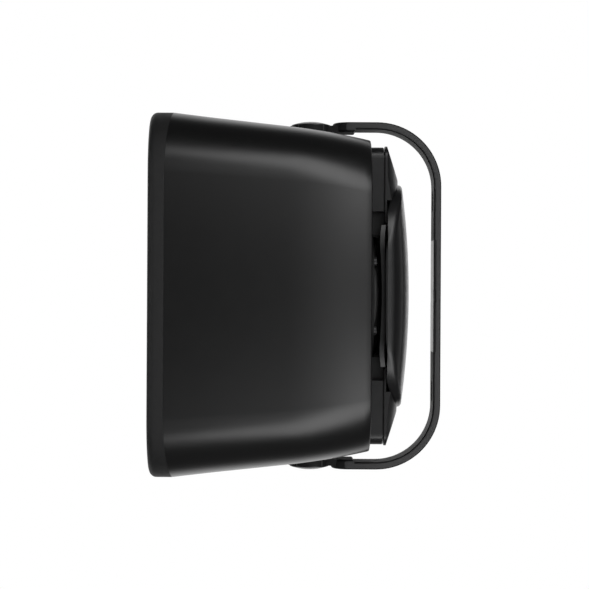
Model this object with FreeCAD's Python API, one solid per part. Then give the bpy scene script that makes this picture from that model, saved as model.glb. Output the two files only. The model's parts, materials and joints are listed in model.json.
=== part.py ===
"""Compact weatherproof loudspeaker on a swivelling U bracket.

Millimetres. The origin is the centre of the bracket's wall face, +Y points into the wall,
the grille faces -Y and +Z is up. Each physical piece is one solid, or one set of equal
fasteners, in its own STEP file.
"""

import FreeCAD
import Part

import math
import os

# Place of the pivot in the cabinet
PIVOT_TO_FRONT = 100.0

# Cabinet shell: straight taper from the front edge, then a curved tail
FRONT_WIDTH = 165.0
FRONT_HEIGHT = 258.0
FRONT_CORNER = 45.0
SHELL_DEPTH = 142.5
SHELL_WALL = 3.5
TAPER_RUN = 84.5
TOP_TAPER = 8.5
TOP_CURVE = 8.8
SIDE_TAPER = 9.5
SIDE_CURVE = 12.0
CORNER_TAPER = 5.0
SHELL_BOSS_RADIUS = 4.5
SHELL_BOSS_LENGTH = 22.0
BOSS_INTO_WALL = 1.0
LEDGE_WIDTH = 6.0
LEDGE_THICK = 4.0

# Formed sheet grille over the front
GRILLE_GAP = 0.5
GRILLE_RETURN = 11.5
GRILLE_SHEET = 1.2
GRILLE_CROWN = 1.5
GRILLE_EDGE = 5.0
GRILLE_BORDER = 9.0
HOLE_PITCH = 12.5
HOLE_FLATS = 9.0

# Baffle, its gasket and screws
BAFFLE_THICK = 12.0
BAFFLE_RIM = 5.0
BAFFLE_FIT = 0.4
BAFFLE_GASKET = 0.8
BAFFLE_SCREW_SPREAD = 60.0

# Fasteners
SCREW_RADIUS = 1.6
SCREW_HEAD_RADIUS = 3.2
SCREW_HEAD_HEIGHT = 1.8
SCREW_GRIP = 9.0
SCREW_PLAY = 0.2
THREAD_PLAY = 0.05
PILOT_EXTRA = 1.0

# Woofer
WOOFER_Z = -42.0
WOOFER_RADIUS = 66.0
WOOFER_RECESS = 2.5
WOOFER_FLANGE = 3.0
WOOFER_SCREW_RADIUS = 61.5
WOOFER_SCREWS = 6
SEAT_PLAY = 0.3
GLUE_GAP = 0.2
CONE_RADIUS = 48.0
CONE_DEPTH = 23.0
CONE_SHEET = 1.0
CONE_LIP = 1.0
CONE_WAIST = 0.42
ROLL_WIDTH = 10.0
ROLL_SHEET = 0.8
COIL_RADIUS = 13.0
COIL_SHEET = 0.6
COIL_WINDING = 0.5
COIL_LENGTH = 10.0
COIL_GAP = 0.8
DUST_CAP_RADIUS = 18.0
DUST_CAP_RISE = 7.0
BASKET_DEPTH = 38.0
BASKET_SHEET = 2.0
BASKET_FOOT = 38.0
BASKET_WINDOWS = 6
WINDOW_ANGLE = 38.0
SPIDER_RADIUS = 36.0
SPIDER_ABOVE_FOOT = 8.0
SPIDER_SHEET = 0.8
PLATE_THICK = 5.0
PLATE_RADIUS = 36.0
MAGNET_RADIUS = 41.0
MAGNET_HOLE = 22.0
MAGNET_THICK = 15.0
VENT_RADIUS = 5.0

# Tweeter
TWEETER_Z = 68.0
TWEETER_RADIUS = 37.0
TWEETER_PLATE = 4.0
TWEETER_MOUTH = 25.0
TWEETER_THROAT = 16.6
TWEETER_FLARE = 1.0
TWEETER_SCREW_RADIUS = 32.0
TWEETER_SCREWS = 4
DOME_RADIUS = 13.0
DOME_RISE = 4.5
DOME_SHEET = 0.5
DOME_ROLL = 2.6
TWEETER_COIL_LENGTH = 6.0
TWEETER_GAP = 0.5
TWEETER_PLATE_RADIUS = 28.0
TWEETER_POLE_PLATE = 3.0
TWEETER_MAGNET_THICK = 9.0
TWEETER_MAGNET_HOLE = 17.5

# Rear panel with its two neck blocks
PANEL_THICK = 4.0
PANEL_RECESS = 0.8
PANEL_FIT = 0.3
PANEL_GASKET = 1.0
PANEL_SCREW_Z = 46.0
PANEL_SCREW_INSET = 4.0
NECK_SIDE_MARGIN = 17.2
NECK_END_MARGIN = 2.1
NECK_CORNER = 8.0
NECK_DEPTH = 10.0
NECK_GROOVE = 1.2
NECK_GROOVE_DEPTH = 3.2
SIDE_VENT_HEIGHT = 120.0
GUARD_WIDTH = 60.0
GUARD_GAP = 1.0

# Bevelled rear caps
CAP_OVERHANG = 0.7
CAP_LIP = 1.6
CAP_RISE = 9.9
CAP_LAND = 2.2
CAP_REACH = 8.0
CAP_SEAT = 1.2
CAP_BELOW_COVER = 0.6
CAP_SCREW_CLEARANCE = 3.75
CAP_SCREW_ANGLE = 69.0
CAP_SCREW_GRIP = 3.5

# Pillow cover and its tray
COVER_WIDTH = 106.0
COVER_HEIGHT = 161.6
COVER_END_FLAT = 10.0
COVER_TO_WALL = 22.9
COVER_RISE = 18.4
COVER_ROUND = 89.0
COVER_CROWN = 6.0
COVER_WALL = 3.0
COVER_GAP = 2.0
COVER_LIFT = 0.2
TRAY_INSET = 4.5
TRAY_WALL = 2.6
TRAY_JOIN = 0.8
TRAY_POST_RADIUS = 4.0
TRAY_POST_X = 18.0
TRAY_POST_INSET = 16.8

# Passive radiator
RADIATOR_RADIUS = 52.0
RADIATOR_FRAME = 3.0
RADIATOR_OPENING = 45.0
RADIATOR_SCREW_RADIUS = 48.5
RADIATOR_SCREWS = 6
DIAPHRAGM_RADIUS = 36.0
DIAPHRAGM_SHEET = 1.6
DIAPHRAGM_DISH = 4.0
RADIATOR_ROLL = 8.0
WEIGHT_RADIUS = 14.0
WEIGHT_THICK = 4.0

# Cable terminal in the lower cap
TERMINAL_MARGIN = 7.3
TERMINAL_WIDTH = 40.0
TERMINAL_HEIGHT = 13.0
TERMINAL_THICK = 6.0
TERMINAL_FIT = 0.3
TERMINAL_FLOOR = 1.0
TERMINAL_PITCH = 19.0
WIRE_HOLE_RADIUS = 2.2
CLAMP_SCREW_RADIUS = 1.8
CLAMP_OFFSET = 6.0

# Crossover board behind the upper part of the panel
BOARD_WIDTH = 72.0
BOARD_HEIGHT = 25.0
BOARD_THICK = 1.6
BOARD_MARGIN = 3.4
BOARD_STANDOFF = 5.0
BOARD_STANDOFF_RADIUS = 3.0
BOARD_SCREW_INSET = 4.5
BOARD_SCREW_RADIUS = 1.2
BOARD_SEAT = 0.1
INDUCTOR_RADIUS = 10.0
INDUCTOR_HOLE = 4.5
INDUCTOR_HEIGHT = 12.0
INDUCTOR_X = -19.0
CAPACITOR_RADIUS = 6.0
CAPACITOR_LENGTH = 18.0
CAPACITOR_X = 2.0
RESISTOR_WIDTH = 18.0
RESISTOR_SIDE = 8.0
RESISTOR_X = 22.0

# U bracket and its pivots
WELL_DEPTH = 2.3
STRIP_WIDTH = 25.0
STRIP_THICK = 5.4
STRIP_EDGE = 1.8
BEND_RADIUS = 46.7
ARM_RISE = 9.9
NOSE_TIP = 15.9
NOSE_END = 32.5
NOSE_CORNER = 12.4
EYE_RADIUS = 15.5
EYE_THICK = 4.7
EYE_PLAY = 0.2
WEB_WIDTH = 18.0
WELL_PLAY = 2.0
WASHER_THICK = 2.6
WASHER_RADIUS = 15.0
BOLT_RADIUS = 4.0
BOLT_PLAY = 0.3
BOLT_HEAD_RADIUS = 14.2
BOLT_HEAD_RIM = 0.7
BOLT_HEAD_CROWN = 2.5
BOLT_SOCKET_FLATS = 8.0
BOLT_SOCKET_DEPTH = 2.4
INSERT_RADIUS = 7.0
INSERT_LENGTH = 14.0
INSERT_WALL = 4.0
SLOT_Z = 69.4
SLOT_LENGTH = 15.6
SLOT_WIDTH = 6.0
SCREW_COVER_LENGTH = 81.0
SCREW_COVER_WIDTH = 24.6
SCREW_COVER_THICK = 2.0
SCREW_COVER_TAPER = 1.5
SCREW_COVER_PLAY = 0.3
SCREW_COVER_EDGE = 0.9
COVER_NOTCH_LENGTH = 9.5
COVER_NOTCH_DEPTH = 1.6
COVER_PEG_Z = 25.0
COVER_PEG_RADIUS = 2.9
COVER_PEG_PLAY = 0.1
REBATE_DEPTH = 1.1
REBATE_WIDTH = 1.4
REBATE_END = 78.0
REBATE_TAB_Z = 60.0
REBATE_TAB = 3.2

# Planes that the pieces share
PIVOT_TO_REAR = SHELL_DEPTH - PIVOT_TO_FRONT
PIVOT_TO_WALL = PIVOT_TO_REAR + NECK_DEPTH + CAP_SEAT + COVER_RISE + COVER_TO_WALL
Y_PIVOT = -PIVOT_TO_WALL
Y_FRONT = Y_PIVOT - PIVOT_TO_FRONT
Y_REAR = Y_FRONT + SHELL_DEPTH
Y_RIM = Y_FRONT - BAFFLE_GASKET
Y_BAFFLE = Y_RIM - BAFFLE_RIM
Y_BAFFLE_BACK = Y_BAFFLE + BAFFLE_THICK
Y_WOOFER = Y_BAFFLE + WOOFER_RECESS
Y_PANEL = Y_REAR - PANEL_RECESS
Y_PANEL_INNER = Y_PANEL - PANEL_THICK
Y_LEDGE = Y_PANEL_INNER - PANEL_GASKET
Y_CAP = Y_REAR + NECK_DEPTH
Y_CAP_SEAT = Y_CAP + CAP_SEAT
Y_COVER_AXIS = Y_CAP_SEAT + COVER_RISE - COVER_ROUND
Y_BOARD = Y_PANEL_INNER - BOARD_STANDOFF
COVER_CORNER = (COVER_WIDTH - COVER_END_FLAT) / 2
CAP_INNER_Z = SIDE_VENT_HEIGHT / 2 - CAP_REACH
CAP_RIDGE_Z = COVER_HEIGHT / 2 + CAP_LAND
TRAY_POST_Z = COVER_HEIGHT / 2 - TRAY_POST_INSET
FAR = 4.0 * FRONT_HEIGHT


def vec(x, y, z):
    return FreeCAD.Vector(x, y, z)


X_AXIS = vec(1, 0, 0)
Y_AXIS = vec(0, 1, 0)
Z_AXIS = vec(0, 0, 1)


def chain(start, *moves):
    """Closed face from a start point and moves: (point,) is a straight run, (through, point) an arc."""
    edges = []
    here = start
    for move in moves + ((start,),):
        if len(move) == 1:
            edges.append(Part.LineSegment(here, move[0]).toShape())
        else:
            edges.append(Part.Arc(here, move[0], move[1]).toShape())
        here = move[-1]
    return Part.Face(Part.Wire(edges))


def rounded_wire(half_width, half_height, radius, y):
    """Rounded rectangle in the plane at depth y, centred on the Y axis."""
    flat_x = half_width - radius
    flat_z = half_height - radius
    bulge = radius * math.sqrt(0.5)
    arcs = []
    for sx, sz in ((1, 1), (-1, 1), (-1, -1), (1, -1)):
        side = vec(sx * half_width, y, sz * flat_z)
        middle = vec(sx * (flat_x + bulge), y, sz * (flat_z + bulge))
        end = vec(sx * flat_x, y, sz * half_height)
        first, last = (side, end) if sx * sz > 0 else (end, side)
        arcs.append((first, middle, last))
    edges = []
    for index, (first, middle, last) in enumerate(arcs):
        following = arcs[(index + 1) % len(arcs)][0]
        edges.append(Part.Arc(first, middle, last).toShape())
        edges.append(Part.LineSegment(last, following).toShape())
    return Part.Wire(edges)


def rounded_prism(half_width, half_height, radius, y_start, y_end):
    face = Part.Face(rounded_wire(half_width, half_height, radius, y_start))
    return face.extrude(vec(0, y_end - y_start, 0))


def box(x_span, y_span, z_span):
    size = [high - low for low, high in (x_span, y_span, z_span)]
    return Part.makeBox(*size, vec(x_span[0], y_span[0], z_span[0]))


def rod_y(radius, y_start, y_end, x=0.0, z=0.0):
    return Part.makeCylinder(radius, y_end - y_start, vec(x, y_start, z), Y_AXIS)


def rod_z(radius, z_start, z_end, x=0.0, y=0.0):
    return Part.makeCylinder(radius, z_end - z_start, vec(x, y, z_start), Z_AXIS)


def tube_y(outer, inner, y_start, y_end, x=0.0, z=0.0):
    return rod_y(outer, y_start, y_end, x, z).cut(rod_y(inner, y_start, y_end, x, z))


def turned(face, z=0.0):
    """Body of revolution about a line along Y, from a face drawn with X as its radius."""
    body = face.revolve(vec(0, 0, 0), Y_AXIS, 360)
    body.translate(vec(0, 0, z))
    return body


def lathe(points, z=0.0):
    """Body of revolution from straight runs between (radius, y) points."""
    corners = [vec(radius, y, 0) for radius, y in points]
    return turned(chain(corners[0], *[(corner,) for corner in corners[1:]]), z)


def mirrored(shape):
    return shape.mirror(vec(0, 0, 0), Z_AXIS)


def on_circle(count, radius, z=0.0, turn=0.0):
    """(x, z) places spread evenly on a circle."""
    angles = [math.radians(turn + 360.0 * index / count) for index in range(count)]
    return [(radius * math.cos(angle), z + radius * math.sin(angle)) for angle in angles]


def fused(shapes):
    body = shapes[0].fuse(shapes[1:])
    return body.removeSplitter()


def holes(radius, y_start, y_end, places):
    return [rod_y(radius, y_start, y_end, x, z) for x, z in places]


def screw_set(places, y_seat, y_tip, facing=1):
    """Equal cap screws along Y: the head stands on y_seat and the shank runs to y_tip."""
    screws = []
    for x, z in places:
        y_head = y_seat - facing * SCREW_HEAD_HEIGHT
        shank = rod_y(SCREW_RADIUS, min(y_seat, y_tip), max(y_seat, y_tip), x, z)
        head = rod_y(SCREW_HEAD_RADIUS, min(y_seat, y_head), max(y_seat, y_head), x, z)
        screws.append(shank.fuse(head).removeSplitter())
    return Part.makeCompound(screws)


# Cabinet shell

def tapered(half_front, taper, curve, y):
    """Half size at depth y: a straight taper, then a parabola that leaves it tangentially."""
    run = y - Y_FRONT
    slope = taper / TAPER_RUN
    tail = SHELL_DEPTH - TAPER_RUN
    bend = (curve - slope * tail) / tail ** 2
    past = max(0.0, run - TAPER_RUN)
    return half_front - slope * run - bend * past ** 2


def shell_half_height(y):
    return tapered(FRONT_HEIGHT / 2, TOP_TAPER, TOP_CURVE, y)


def shell_half_width(y):
    return tapered(FRONT_WIDTH / 2, SIDE_TAPER, SIDE_CURVE, y)


def shell_corner(y):
    return FRONT_CORNER - CORNER_TAPER * (y - Y_FRONT) / SHELL_DEPTH


def shell_section(y, inset):
    half_width = shell_half_width(y) - inset
    half_height = shell_half_height(y) - inset
    return rounded_wire(half_width, half_height, shell_corner(y) - inset, y)


def shell_loft(inset, beyond=0.0):
    tail = SHELL_DEPTH - TAPER_RUN
    runs = (-beyond, TAPER_RUN / 2, TAPER_RUN, TAPER_RUN + tail / 3, TAPER_RUN + 2 * tail / 3)
    stations = [Y_FRONT + run for run in runs] + [Y_REAR + beyond]
    return Part.makeLoft([shell_section(y, inset) for y in stations], True, False)


Z_WELL = shell_half_height(Y_PIVOT) - WELL_DEPTH
Z_EYE = Z_WELL + WASHER_THICK + EYE_PLAY
Z_BOLT_HEAD = Z_EYE + EYE_THICK + EYE_PLAY
Z_ARM = Z_WELL + ARM_RISE
WELL_RADIUS = EYE_RADIUS + WELL_PLAY


def baffle_half_width():
    return shell_half_width(Y_BAFFLE_BACK) - SHELL_WALL - BAFFLE_FIT


def baffle_half_height():
    return shell_half_height(Y_BAFFLE_BACK) - SHELL_WALL - BAFFLE_FIT


def baffle_screw_places():
    into = SHELL_WALL + SHELL_BOSS_RADIUS - BOSS_INTO_WALL
    side = shell_half_width(Y_BAFFLE_BACK) - into
    end = shell_half_height(Y_BAFFLE_BACK) - into
    half = BAFFLE_SCREW_SPREAD / 2
    return [(side, 0.0), (-side, 0.0), (half, end), (-half, end), (half, -end), (-half, -end)]


def panel_screw_places():
    x = panel_half_width() - PANEL_SCREW_INSET
    return [(sx * x, sz * PANEL_SCREW_Z) for sx in (1, -1) for sz in (1, -1)]


def panel_half_width():
    return shell_half_width(Y_REAR) - SHELL_WALL - PANEL_FIT


def panel_half_height():
    return shell_half_height(Y_REAR) - SHELL_WALL - PANEL_FIT


def panel_corner():
    return shell_corner(Y_REAR) - SHELL_WALL - PANEL_FIT


def neck_half_width():
    return panel_half_width() - NECK_SIDE_MARGIN


def neck_half_height():
    return panel_half_height() - NECK_END_MARGIN


def board_z():
    return panel_half_height() - LEDGE_WIDTH - BOARD_MARGIN - BOARD_HEIGHT / 2


def terminal_z():
    return TERMINAL_MARGIN + TERMINAL_HEIGHT / 2 - neck_half_height()


def ledge_opening(y_start, y_end):
    half_width = panel_half_width() - LEDGE_WIDTH
    half_height = panel_half_height() - LEDGE_WIDTH
    return rounded_prism(half_width, half_height, panel_corner() - LEDGE_WIDTH, y_start, y_end)


def cabinet_shell():
    outer = shell_loft(0.0)
    inner = shell_loft(SHELL_WALL, 1.0)
    shell = outer.cut(inner)
    y_ledge_end = Y_LEDGE - LEDGE_THICK
    ledge = outer.common(box((-FAR, FAR), (y_ledge_end, Y_LEDGE), (-FAR, FAR)))
    ledge = ledge.cut(ledge_opening(y_ledge_end, Y_LEDGE))
    y_boss_end = Y_BAFFLE_BACK + SHELL_BOSS_LENGTH
    bosses = holes(SHELL_BOSS_RADIUS, Y_BAFFLE_BACK, y_boss_end, baffle_screw_places())
    pan = rod_z(WELL_RADIUS + SHELL_WALL, Z_WELL - SHELL_WALL, FAR, 0.0, Y_PIVOT)
    post = rod_z(INSERT_RADIUS + INSERT_WALL, Z_WELL - INSERT_LENGTH - INSERT_WALL, FAR, 0.0, Y_PIVOT)
    inside = [outer.common(part) for part in bosses + [pan, post, mirrored(pan), mirrored(post)]]
    shell = shell.fuse([ledge] + inside)
    well = rod_z(WELL_RADIUS, Z_WELL, FAR, 0.0, Y_PIVOT)
    socket = rod_z(INSERT_RADIUS, Z_WELL - INSERT_LENGTH, FAR, 0.0, Y_PIVOT)
    pilots = holes(SCREW_RADIUS + THREAD_PLAY, Y_BAFFLE_BACK, Y_BAFFLE_BACK + SCREW_GRIP + PILOT_EXTRA,
                   baffle_screw_places())
    pilots += holes(SCREW_RADIUS + THREAD_PLAY, y_ledge_end, Y_LEDGE, panel_screw_places())
    shell = shell.cut([well, mirrored(well), socket, mirrored(socket)] + pilots)
    return shell.removeSplitter()


# Front: grille, baffle and gasket

def grille_block(inset, y_edge):
    """Front cover as a solid: a rounded outline, a crowned face and a rolled edge."""
    half_width = FRONT_WIDTH / 2 - inset
    half_height = FRONT_HEIGHT / 2 - inset
    y_face = Y_FRONT - GRILLE_GAP - GRILLE_RETURN + inset
    crown = ((FRONT_WIDTH / 2) ** 2 + GRILLE_CROWN ** 2) / (2 * GRILLE_CROWN) - inset
    y_axis = y_face - GRILLE_CROWN + crown
    block = rounded_prism(half_width, half_height, FRONT_CORNER - inset, y_face - GRILLE_CROWN, y_edge)
    barrel = Part.makeCylinder(crown, FAR, vec(0, y_axis, -FAR / 2), Z_AXIS)
    block = block.common(barrel)
    near_face = y_face + GRILLE_EDGE / 2
    rim = [edge for edge in block.Edges if edge.BoundBox.YMax < near_face]
    return block.makeFillet(GRILLE_EDGE - inset, rim)


def hole_places():
    """Staggered hole centres inside the plain border of the grille."""
    row_step = HOLE_PITCH * math.sqrt(0.75)
    reach = GRILLE_BORDER + HOLE_FLATS / 2
    half_width = FRONT_WIDTH / 2 - reach
    half_height = FRONT_HEIGHT / 2 - reach
    corner = FRONT_CORNER - reach
    rows = int(half_height / row_step)
    columns = int(half_width / HOLE_PITCH) + 1
    places = []
    for row in range(-rows, rows + 1):
        for column in range(-columns, columns + 1):
            x = (column + 0.5 * (row % 2)) * HOLE_PITCH
            z = row * row_step
            past_x = max(0.0, abs(x) - (half_width - corner))
            past_z = max(0.0, abs(z) - (half_height - corner))
            if math.hypot(past_x, past_z) <= corner:
                places.append((x, z))
    return places


def hexagon_prism(flats, y_start, y_end, x=0.0, z=0.0):
    corners = [vec(x + px, y_start, z + pz) for px, pz in on_circle(6, flats / math.sqrt(3.0), 0.0, 30.0)]
    face = chain(corners[0], *[(corner,) for corner in corners[1:]])
    return face.extrude(vec(0, y_end - y_start, 0))


def front_grille():
    y_edge = Y_FRONT - GRILLE_GAP
    sheet = grille_block(0.0, y_edge).cut(grille_block(GRILLE_SHEET, y_edge + 1.0))
    y_front = y_edge - GRILLE_RETURN - 2 * GRILLE_CROWN
    y_behind = y_edge - GRILLE_RETURN + 2 * GRILLE_SHEET
    prisms = [hexagon_prism(HOLE_FLATS, y_front, y_behind, x, z) for x, z in hole_places()]
    return sheet.cut(Part.makeCompound(prisms))


def front_rim(y_start, y_end):
    """Outline of what fits just inside the grille's edge return."""
    inset = GRILLE_SHEET + BAFFLE_FIT
    return rounded_prism(FRONT_WIDTH / 2 - inset, FRONT_HEIGHT / 2 - inset, FRONT_CORNER - inset, y_start, y_end)


def front_baffle():
    rim = front_rim(Y_BAFFLE, Y_RIM)
    corner = shell_corner(Y_BAFFLE_BACK) - SHELL_WALL - BAFFLE_FIT
    plug = rounded_prism(baffle_half_width(), baffle_half_height(), corner, Y_RIM, Y_BAFFLE_BACK)
    through = Y_BAFFLE_BACK + 1.0
    woofer_hole = ROLL_WIDTH + CONE_RADIUS + BASKET_SHEET + SEAT_PLAY
    woofer_seat = Y_WOOFER + WOOFER_FLANGE
    tools = [
        rod_y(WOOFER_RADIUS + SEAT_PLAY, Y_BAFFLE - 1.0, woofer_seat, 0.0, WOOFER_Z),
        rod_y(woofer_hole, Y_BAFFLE, through, 0.0, WOOFER_Z),
        rod_y(TWEETER_RADIUS + SEAT_PLAY, Y_BAFFLE - 1.0, Y_BAFFLE + TWEETER_PLATE, 0.0, TWEETER_Z),
        rod_y(TWEETER_PLATE_RADIUS + SEAT_PLAY, Y_BAFFLE, through, 0.0, TWEETER_Z),
    ]
    tools += holes(SCREW_RADIUS + SCREW_PLAY, Y_BAFFLE - 1.0, through, baffle_screw_places())
    tools += holes(SCREW_RADIUS + THREAD_PLAY, woofer_seat, through, woofer_screw_places())
    tools += holes(SCREW_RADIUS + THREAD_PLAY, Y_BAFFLE + TWEETER_PLATE, through, tweeter_screw_places())
    return rim.fuse(plug).cut(tools).removeSplitter()


def baffle_gasket():
    ring = front_rim(Y_RIM, Y_FRONT)
    return ring.cut(rounded_prism(FRONT_WIDTH / 2 - SHELL_WALL, FRONT_HEIGHT / 2 - SHELL_WALL,
                                  FRONT_CORNER - SHELL_WALL, Y_RIM, Y_FRONT))


def baffle_screws():
    return screw_set(baffle_screw_places(), Y_BAFFLE, Y_BAFFLE_BACK + SCREW_GRIP)


# Woofer

def woofer_screw_places():
    return on_circle(WOOFER_SCREWS, WOOFER_SCREW_RADIUS, WOOFER_Z, 30.0)


Y_BASKET_FOOT = Y_WOOFER + BASKET_DEPTH
Y_PLATE = Y_BASKET_FOOT + BASKET_SHEET
Y_MAGNET = Y_PLATE + PLATE_THICK
Y_BACK_PLATE = Y_MAGNET + MAGNET_THICK
Y_SPIDER = Y_BASKET_FOOT - SPIDER_ABOVE_FOOT
BASKET_MOUTH = CONE_RADIUS + ROLL_WIDTH - ROLL_SHEET


def basket_radius(y):
    """Inner radius of the basket's wall at depth y."""
    share = (y - Y_WOOFER - WOOFER_FLANGE) / (BASKET_DEPTH - WOOFER_FLANGE)
    return BASKET_MOUTH + share * (BASKET_FOOT - BASKET_SHEET - BASKET_MOUTH)


def woofer_basket():
    y_flange = Y_WOOFER + WOOFER_FLANGE
    bore = COIL_RADIUS + COIL_WINDING + 2 * COIL_GAP
    ledge_y = Y_SPIDER + SPIDER_SHEET
    body = lathe([
        (BASKET_MOUTH, Y_WOOFER), (WOOFER_RADIUS, Y_WOOFER), (WOOFER_RADIUS, y_flange),
        (BASKET_MOUTH + BASKET_SHEET, y_flange), (BASKET_FOOT, Y_BASKET_FOOT), (BASKET_FOOT, Y_PLATE),
        (bore, Y_PLATE), (bore, Y_BASKET_FOOT), (BASKET_FOOT - BASKET_SHEET, Y_BASKET_FOOT),
        (basket_radius(ledge_y + BASKET_SHEET), ledge_y + BASKET_SHEET),
        (SPIDER_RADIUS - 2 * BASKET_SHEET, ledge_y + BASKET_SHEET), (SPIDER_RADIUS - 2 * BASKET_SHEET, ledge_y),
        (basket_radius(ledge_y), ledge_y), (BASKET_MOUTH, y_flange),
    ], WOOFER_Z)
    y_window = y_flange + 2 * BASKET_SHEET
    y_window_end = Y_SPIDER - BASKET_SHEET
    pane = chain(vec(BASKET_FOOT - BASKET_SHEET, y_window, 0), (vec(WOOFER_RADIUS, y_window, 0),),
                 (vec(WOOFER_RADIUS, y_window_end, 0),),
                 (vec(BASKET_FOOT - BASKET_SHEET, y_window_end, 0),))
    windows = []
    for index in range(BASKET_WINDOWS):
        window = pane.revolve(vec(0, 0, 0), Y_AXIS, WINDOW_ANGLE)
        window.rotate(vec(0, 0, 0), Y_AXIS, 360.0 * index / BASKET_WINDOWS)
        window.translate(vec(0, 0, WOOFER_Z))
        windows.append(window)
    screws = holes(SCREW_RADIUS + SCREW_PLAY, Y_WOOFER, y_flange, woofer_screw_places())
    return body.cut(windows + screws)


def woofer_surround():
    """Half-roll edge between the cone's lip and the basket's flange."""
    return half_roll(CONE_RADIUS, ROLL_WIDTH, ROLL_SHEET, Y_WOOFER, -1, WOOFER_Z)


def half_roll(radius, width, sheet, y_foot, facing, z=0.0):
    """Half-round rubber roll drawn as four straight bands, standing on y_foot."""
    middle = radius + width / 2
    outer, inner = [], []
    for step in range(5):
        angle = math.radians(45.0 * step)
        outer.append((middle + width / 2 * math.cos(angle), y_foot + facing * width / 2 * math.sin(angle)))
        inside = width / 2 - sheet
        inner.append((middle + inside * math.cos(angle), y_foot + facing * inside * math.sin(angle)))
    return lathe(outer + inner[::-1], z)


def woofer_cone():
    y_lip = Y_WOOFER + GLUE_GAP
    neck = COIL_RADIUS + THREAD_PLAY
    edge = CONE_RADIUS + ROLL_SHEET
    y_neck = y_lip + CONE_DEPTH
    waist = (edge + neck) / 2
    y_waist = y_lip + CONE_WAIST * CONE_DEPTH
    return lathe([
        (edge, y_lip), (edge, y_lip + CONE_SHEET), (edge - CONE_LIP, y_lip + CONE_SHEET),
        (waist, y_waist + CONE_SHEET), (neck, y_neck + 1.5 * CONE_SHEET), (neck, y_neck),
        (waist, y_waist), (edge - CONE_LIP, y_lip),
    ], WOOFER_Z)


def cone_front(radius):
    """Depth of the cone's front face at a radius inside its waist."""
    neck = COIL_RADIUS + THREAD_PLAY
    waist = (CONE_RADIUS + ROLL_SHEET + neck) / 2
    y_lip = Y_WOOFER + GLUE_GAP
    share = (radius - neck) / (waist - neck)
    return y_lip + CONE_DEPTH * (1.0 - share * (1.0 - CONE_WAIST))


def woofer_dust_cap():
    y_edge = cone_front(DUST_CAP_RADIUS) - GLUE_GAP
    return dome_cap(DUST_CAP_RADIUS, DUST_CAP_RISE, CONE_SHEET, y_edge, WOOFER_Z)


def dome_cap(radius, rise, sheet, y_edge, z):
    """Shallow spherical cap whose rim is at y_edge and whose crown faces the listener."""
    ball = (radius ** 2 + rise ** 2) / (2 * rise)
    y_ball = y_edge - rise + ball
    crown = Part.makeSphere(ball, vec(0, y_ball, z)).cut(Part.makeSphere(ball - sheet, vec(0, y_ball, z)))
    return crown.common(rod_y(radius, y_edge - rise - sheet, y_edge, 0.0, z))


def woofer_voice_coil():
    former = COIL_RADIUS - COIL_SHEET
    winding = COIL_RADIUS + COIL_WINDING
    y_top = Y_WOOFER + CONE_DEPTH
    y_mid = Y_PLATE + PLATE_THICK / 2
    y_start = y_mid - COIL_LENGTH / 2
    y_end = y_mid + COIL_LENGTH / 2
    return lathe([
        (former, y_top), (COIL_RADIUS, y_top), (COIL_RADIUS, y_start), (winding, y_start),
        (winding, y_end), (former, y_end),
    ], WOOFER_Z)


def woofer_spider():
    """Corrugated suspension disc between the coil former and the basket's ledge."""
    inner = COIL_RADIUS + THREAD_PLAY
    waves = 4
    step = (SPIDER_RADIUS - inner) / (2 * waves)
    front, back = [], []
    for index in range(2 * waves + 1):
        y = Y_SPIDER - (SPIDER_SHEET * 2 if index % 2 else 0.0)
        front.append((inner + index * step, y))
        back.append((inner + index * step, y + SPIDER_SHEET))
    return lathe(front + back[::-1], WOOFER_Z)


def woofer_top_plate():
    bore = COIL_RADIUS + COIL_WINDING + COIL_GAP
    return tube_y(PLATE_RADIUS, bore, Y_PLATE, Y_MAGNET, 0.0, WOOFER_Z)


def woofer_magnet():
    return tube_y(MAGNET_RADIUS, MAGNET_HOLE, Y_MAGNET, Y_BACK_PLATE, 0.0, WOOFER_Z)


def woofer_back_plate():
    pole = COIL_RADIUS - COIL_SHEET - COIL_GAP
    y_end = Y_BACK_PLATE + PLATE_THICK
    return lathe([
        (VENT_RADIUS, Y_PLATE), (pole, Y_PLATE), (pole, Y_BACK_PLATE), (PLATE_RADIUS, Y_BACK_PLATE),
        (PLATE_RADIUS, y_end), (VENT_RADIUS, y_end),
    ], WOOFER_Z)


def woofer_screws():
    return screw_set(woofer_screw_places(), Y_WOOFER, Y_BAFFLE_BACK - THREAD_PLAY)


# Tweeter

Y_TWEETER_DOME = Y_BAFFLE + TWEETER_PLATE - DOME_SHEET
Y_TWEETER_TOP = Y_BAFFLE + TWEETER_PLATE
Y_TWEETER_MAGNET = Y_TWEETER_TOP + TWEETER_POLE_PLATE
Y_TWEETER_BACK = Y_TWEETER_MAGNET + TWEETER_MAGNET_THICK


def tweeter_screw_places():
    return on_circle(TWEETER_SCREWS, TWEETER_SCREW_RADIUS, TWEETER_Z, 45.0)


def tweeter_faceplate():
    y_back = Y_BAFFLE + TWEETER_PLATE
    flare = (TWEETER_MOUTH + TWEETER_THROAT) / 2
    plate = lathe([
        (TWEETER_MOUTH, Y_BAFFLE), (TWEETER_RADIUS, Y_BAFFLE), (TWEETER_RADIUS, y_back),
        (TWEETER_THROAT, y_back), (flare - TWEETER_FLARE, Y_BAFFLE + TWEETER_PLATE / 3),
    ], TWEETER_Z)
    return plate.cut(holes(SCREW_RADIUS + SCREW_PLAY, Y_BAFFLE, y_back, tweeter_screw_places()))


def tweeter_dome():
    return dome_cap(DOME_RADIUS, DOME_RISE, DOME_SHEET, Y_TWEETER_DOME, TWEETER_Z)


def tweeter_voice_coil():
    y_start = Y_TWEETER_DOME + THREAD_PLAY
    return tube_y(DOME_RADIUS, DOME_RADIUS - DOME_SHEET, y_start, y_start + TWEETER_COIL_LENGTH, 0.0, TWEETER_Z)


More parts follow.
